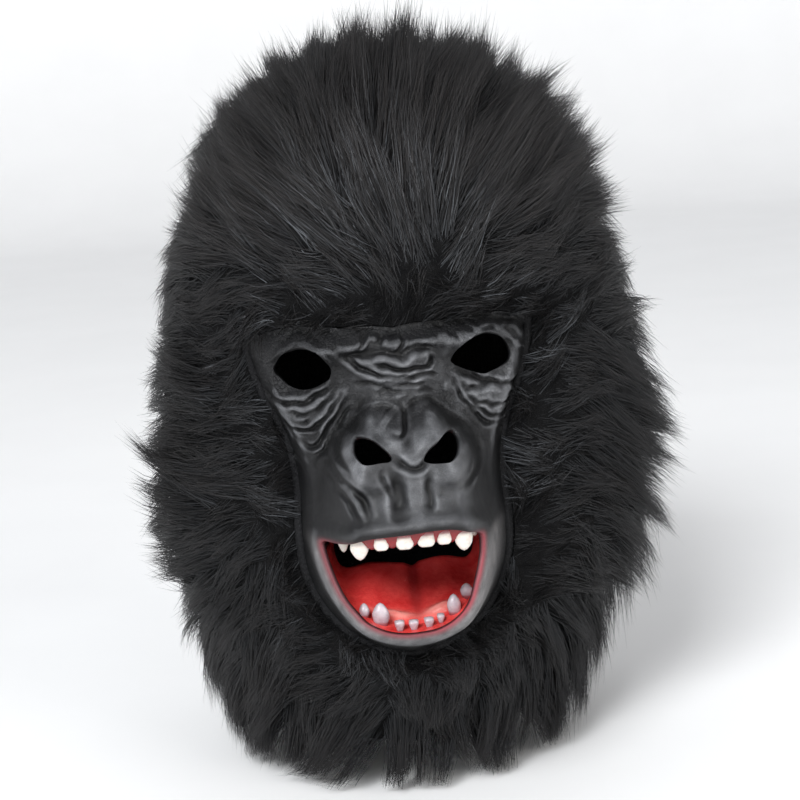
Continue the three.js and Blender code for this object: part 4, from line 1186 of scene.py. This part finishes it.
# Each hair: a line laid from its root towards the point of its tuft, and given a flat width
line = from_node("GeometryNodeCurvePrimitiveLine", {"End": (0.0, 0.0, 0.01)})
line = from_node("GeometryNodeResampleCurve", {"Curve": line, "Count": given["Bends"]})
lines = from_node("GeometryNodeInstanceOnPoints", {"Points": points, "Instance": line})
lines = from_node("GeometryNodeRealizeInstances", {"Geometry": lines})
step = from_node("GeometryNodeSplineParameter")
lines = store(lines, "along", step)
root, swept = named("root", "FLOAT_VECTOR"), named("tuft_sweep", "FLOAT_VECTOR")
far = times(step, named("reach"))
run_by = times(far, count(hairs, "MULTIPLY_ADD", far, 0.5, 0.5))
rise_by = times(far, count(hairs, "MULTIPLY_ADD", far, -0.6, 1.6))
gather_by = times(named("gather"), named("clumped"), count(hairs, "POWER", step, 0.8))
curls = node(hairs, "ShaderNodeTexNoise", {
    "Vector": together(scaled(root, 6.0), scaled(swept, step)), "Scale": 30.0, "Detail": 1.0,
}).outputs["Color"]
placed = together(
    root, scaled(named("to_tuft", "FLOAT_VECTOR"), gather_by), scaled(swept, run_by),
    scaled(named("tuft_lift", "FLOAT_VECTOR"), rise_by),
    scaled(together(curls, (-0.5, -0.5, -0.5)), times(step, step, given["Curl"])),
    scaled(named("scatter", "FLOAT_VECTOR"), step),
)
parts = node(hairs, "ShaderNodeSeparateXYZ", {"Vector": placed}).outputs
lowest = count(hairs, "ADD", given["Lowest"], vary(0.0, 0.003, 26))
placed = from_node("ShaderNodeCombineXYZ", {
    "X": parts["X"], "Y": parts["Y"], "Z": count(hairs, "MAXIMUM", parts["Z"], lowest),
})
lines = from_node("GeometryNodeSetPosition", {"Geometry": lines, "Position": placed})
facing = {"Curve": lines, "Normal": named("facing", "FLOAT_VECTOR")}
lines = from_node("GeometryNodeSetCurveNormal", facing, mode="FREE")
flat_side = {"Start": (-0.5, 0.0, 0.0), "End": (0.5, 0.0, 0.0)}
taper = count(hairs, "SUBTRACT", 1.0, count(hairs, "POWER", step, 2.2))
ribbons = from_node("GeometryNodeCurveToMesh", {
    "Curve": lines, "Profile Curve": from_node("GeometryNodeCurvePrimitiveLine", flat_side),
    "Scale": times(taper, given["Hair width"]),
})
ribbons = from_node("GeometryNodeMergeByDistance", {"Geometry": ribbons, "Distance": 1e-7})
bake_place = from_node("ShaderNodeCombineXYZ", {"X": named("strand"), "Y": named("along")})
ribbons = store(ribbons, "OFBake", bake_place, "FLOAT2", "CORNER")
ribbons = from_node("GeometryNodeRealizeInstances", {"Geometry": ribbons})
ribbons = from_node("GeometryNodeSetMaterial", {"Geometry": ribbons, "Material": given["Hair"]})
node(hairs, "NodeGroupOutput", {"Geometry": ribbons})

middle_turn = np.degrees(turn)[coat_faces][:, 0] + 180 / columns
middle_t = t[coat_faces].mean(axis=1)
furry = ~open_face[coat_faces].all(axis=1)
for seed, (name, start, end, top, bottom) in enumerate(FUR_FIELDS):
    inside = (middle_t >= top) & (middle_t < bottom) & furry
    inside &= (middle_turn - start) % 360 < end - start
    field = new_piece(f"fur_{name}", coat, coat_faces[inside].tolist(), fur_black, {
        "sweep": sweep * 0.001, "lift": normals * rise[:, None] * 0.001, "clumped": clumped,
        "shade": shade,
    })
    close_up(field)
    area = sum(polygon.area for polygon in field.data.polygons)
    settings = {
        "Tufts per square metre": TUFTS_PER_M2,
        "Hairs per square metre": TRIANGLES_A_FIELD / TRIANGLES_A_HAIR / area,
        "Bends": HAIR_BENDS, "Hair width": HAIR_WIDE, "Curl": CURL, "Lowest": LOWEST, "Hair": fur_black,
        "Seed": 3 + seed,
    }
    grow = field.modifiers.new("hairs", "NODES")
    grow.node_group = hairs
    for item in hairs.interface.items_tree:
        if item.item_type == "SOCKET" and item.name in settings:
            grow[item.identifier] = settings[item.name]
    apply_all(field)
    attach(field, "root")
    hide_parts("fur")
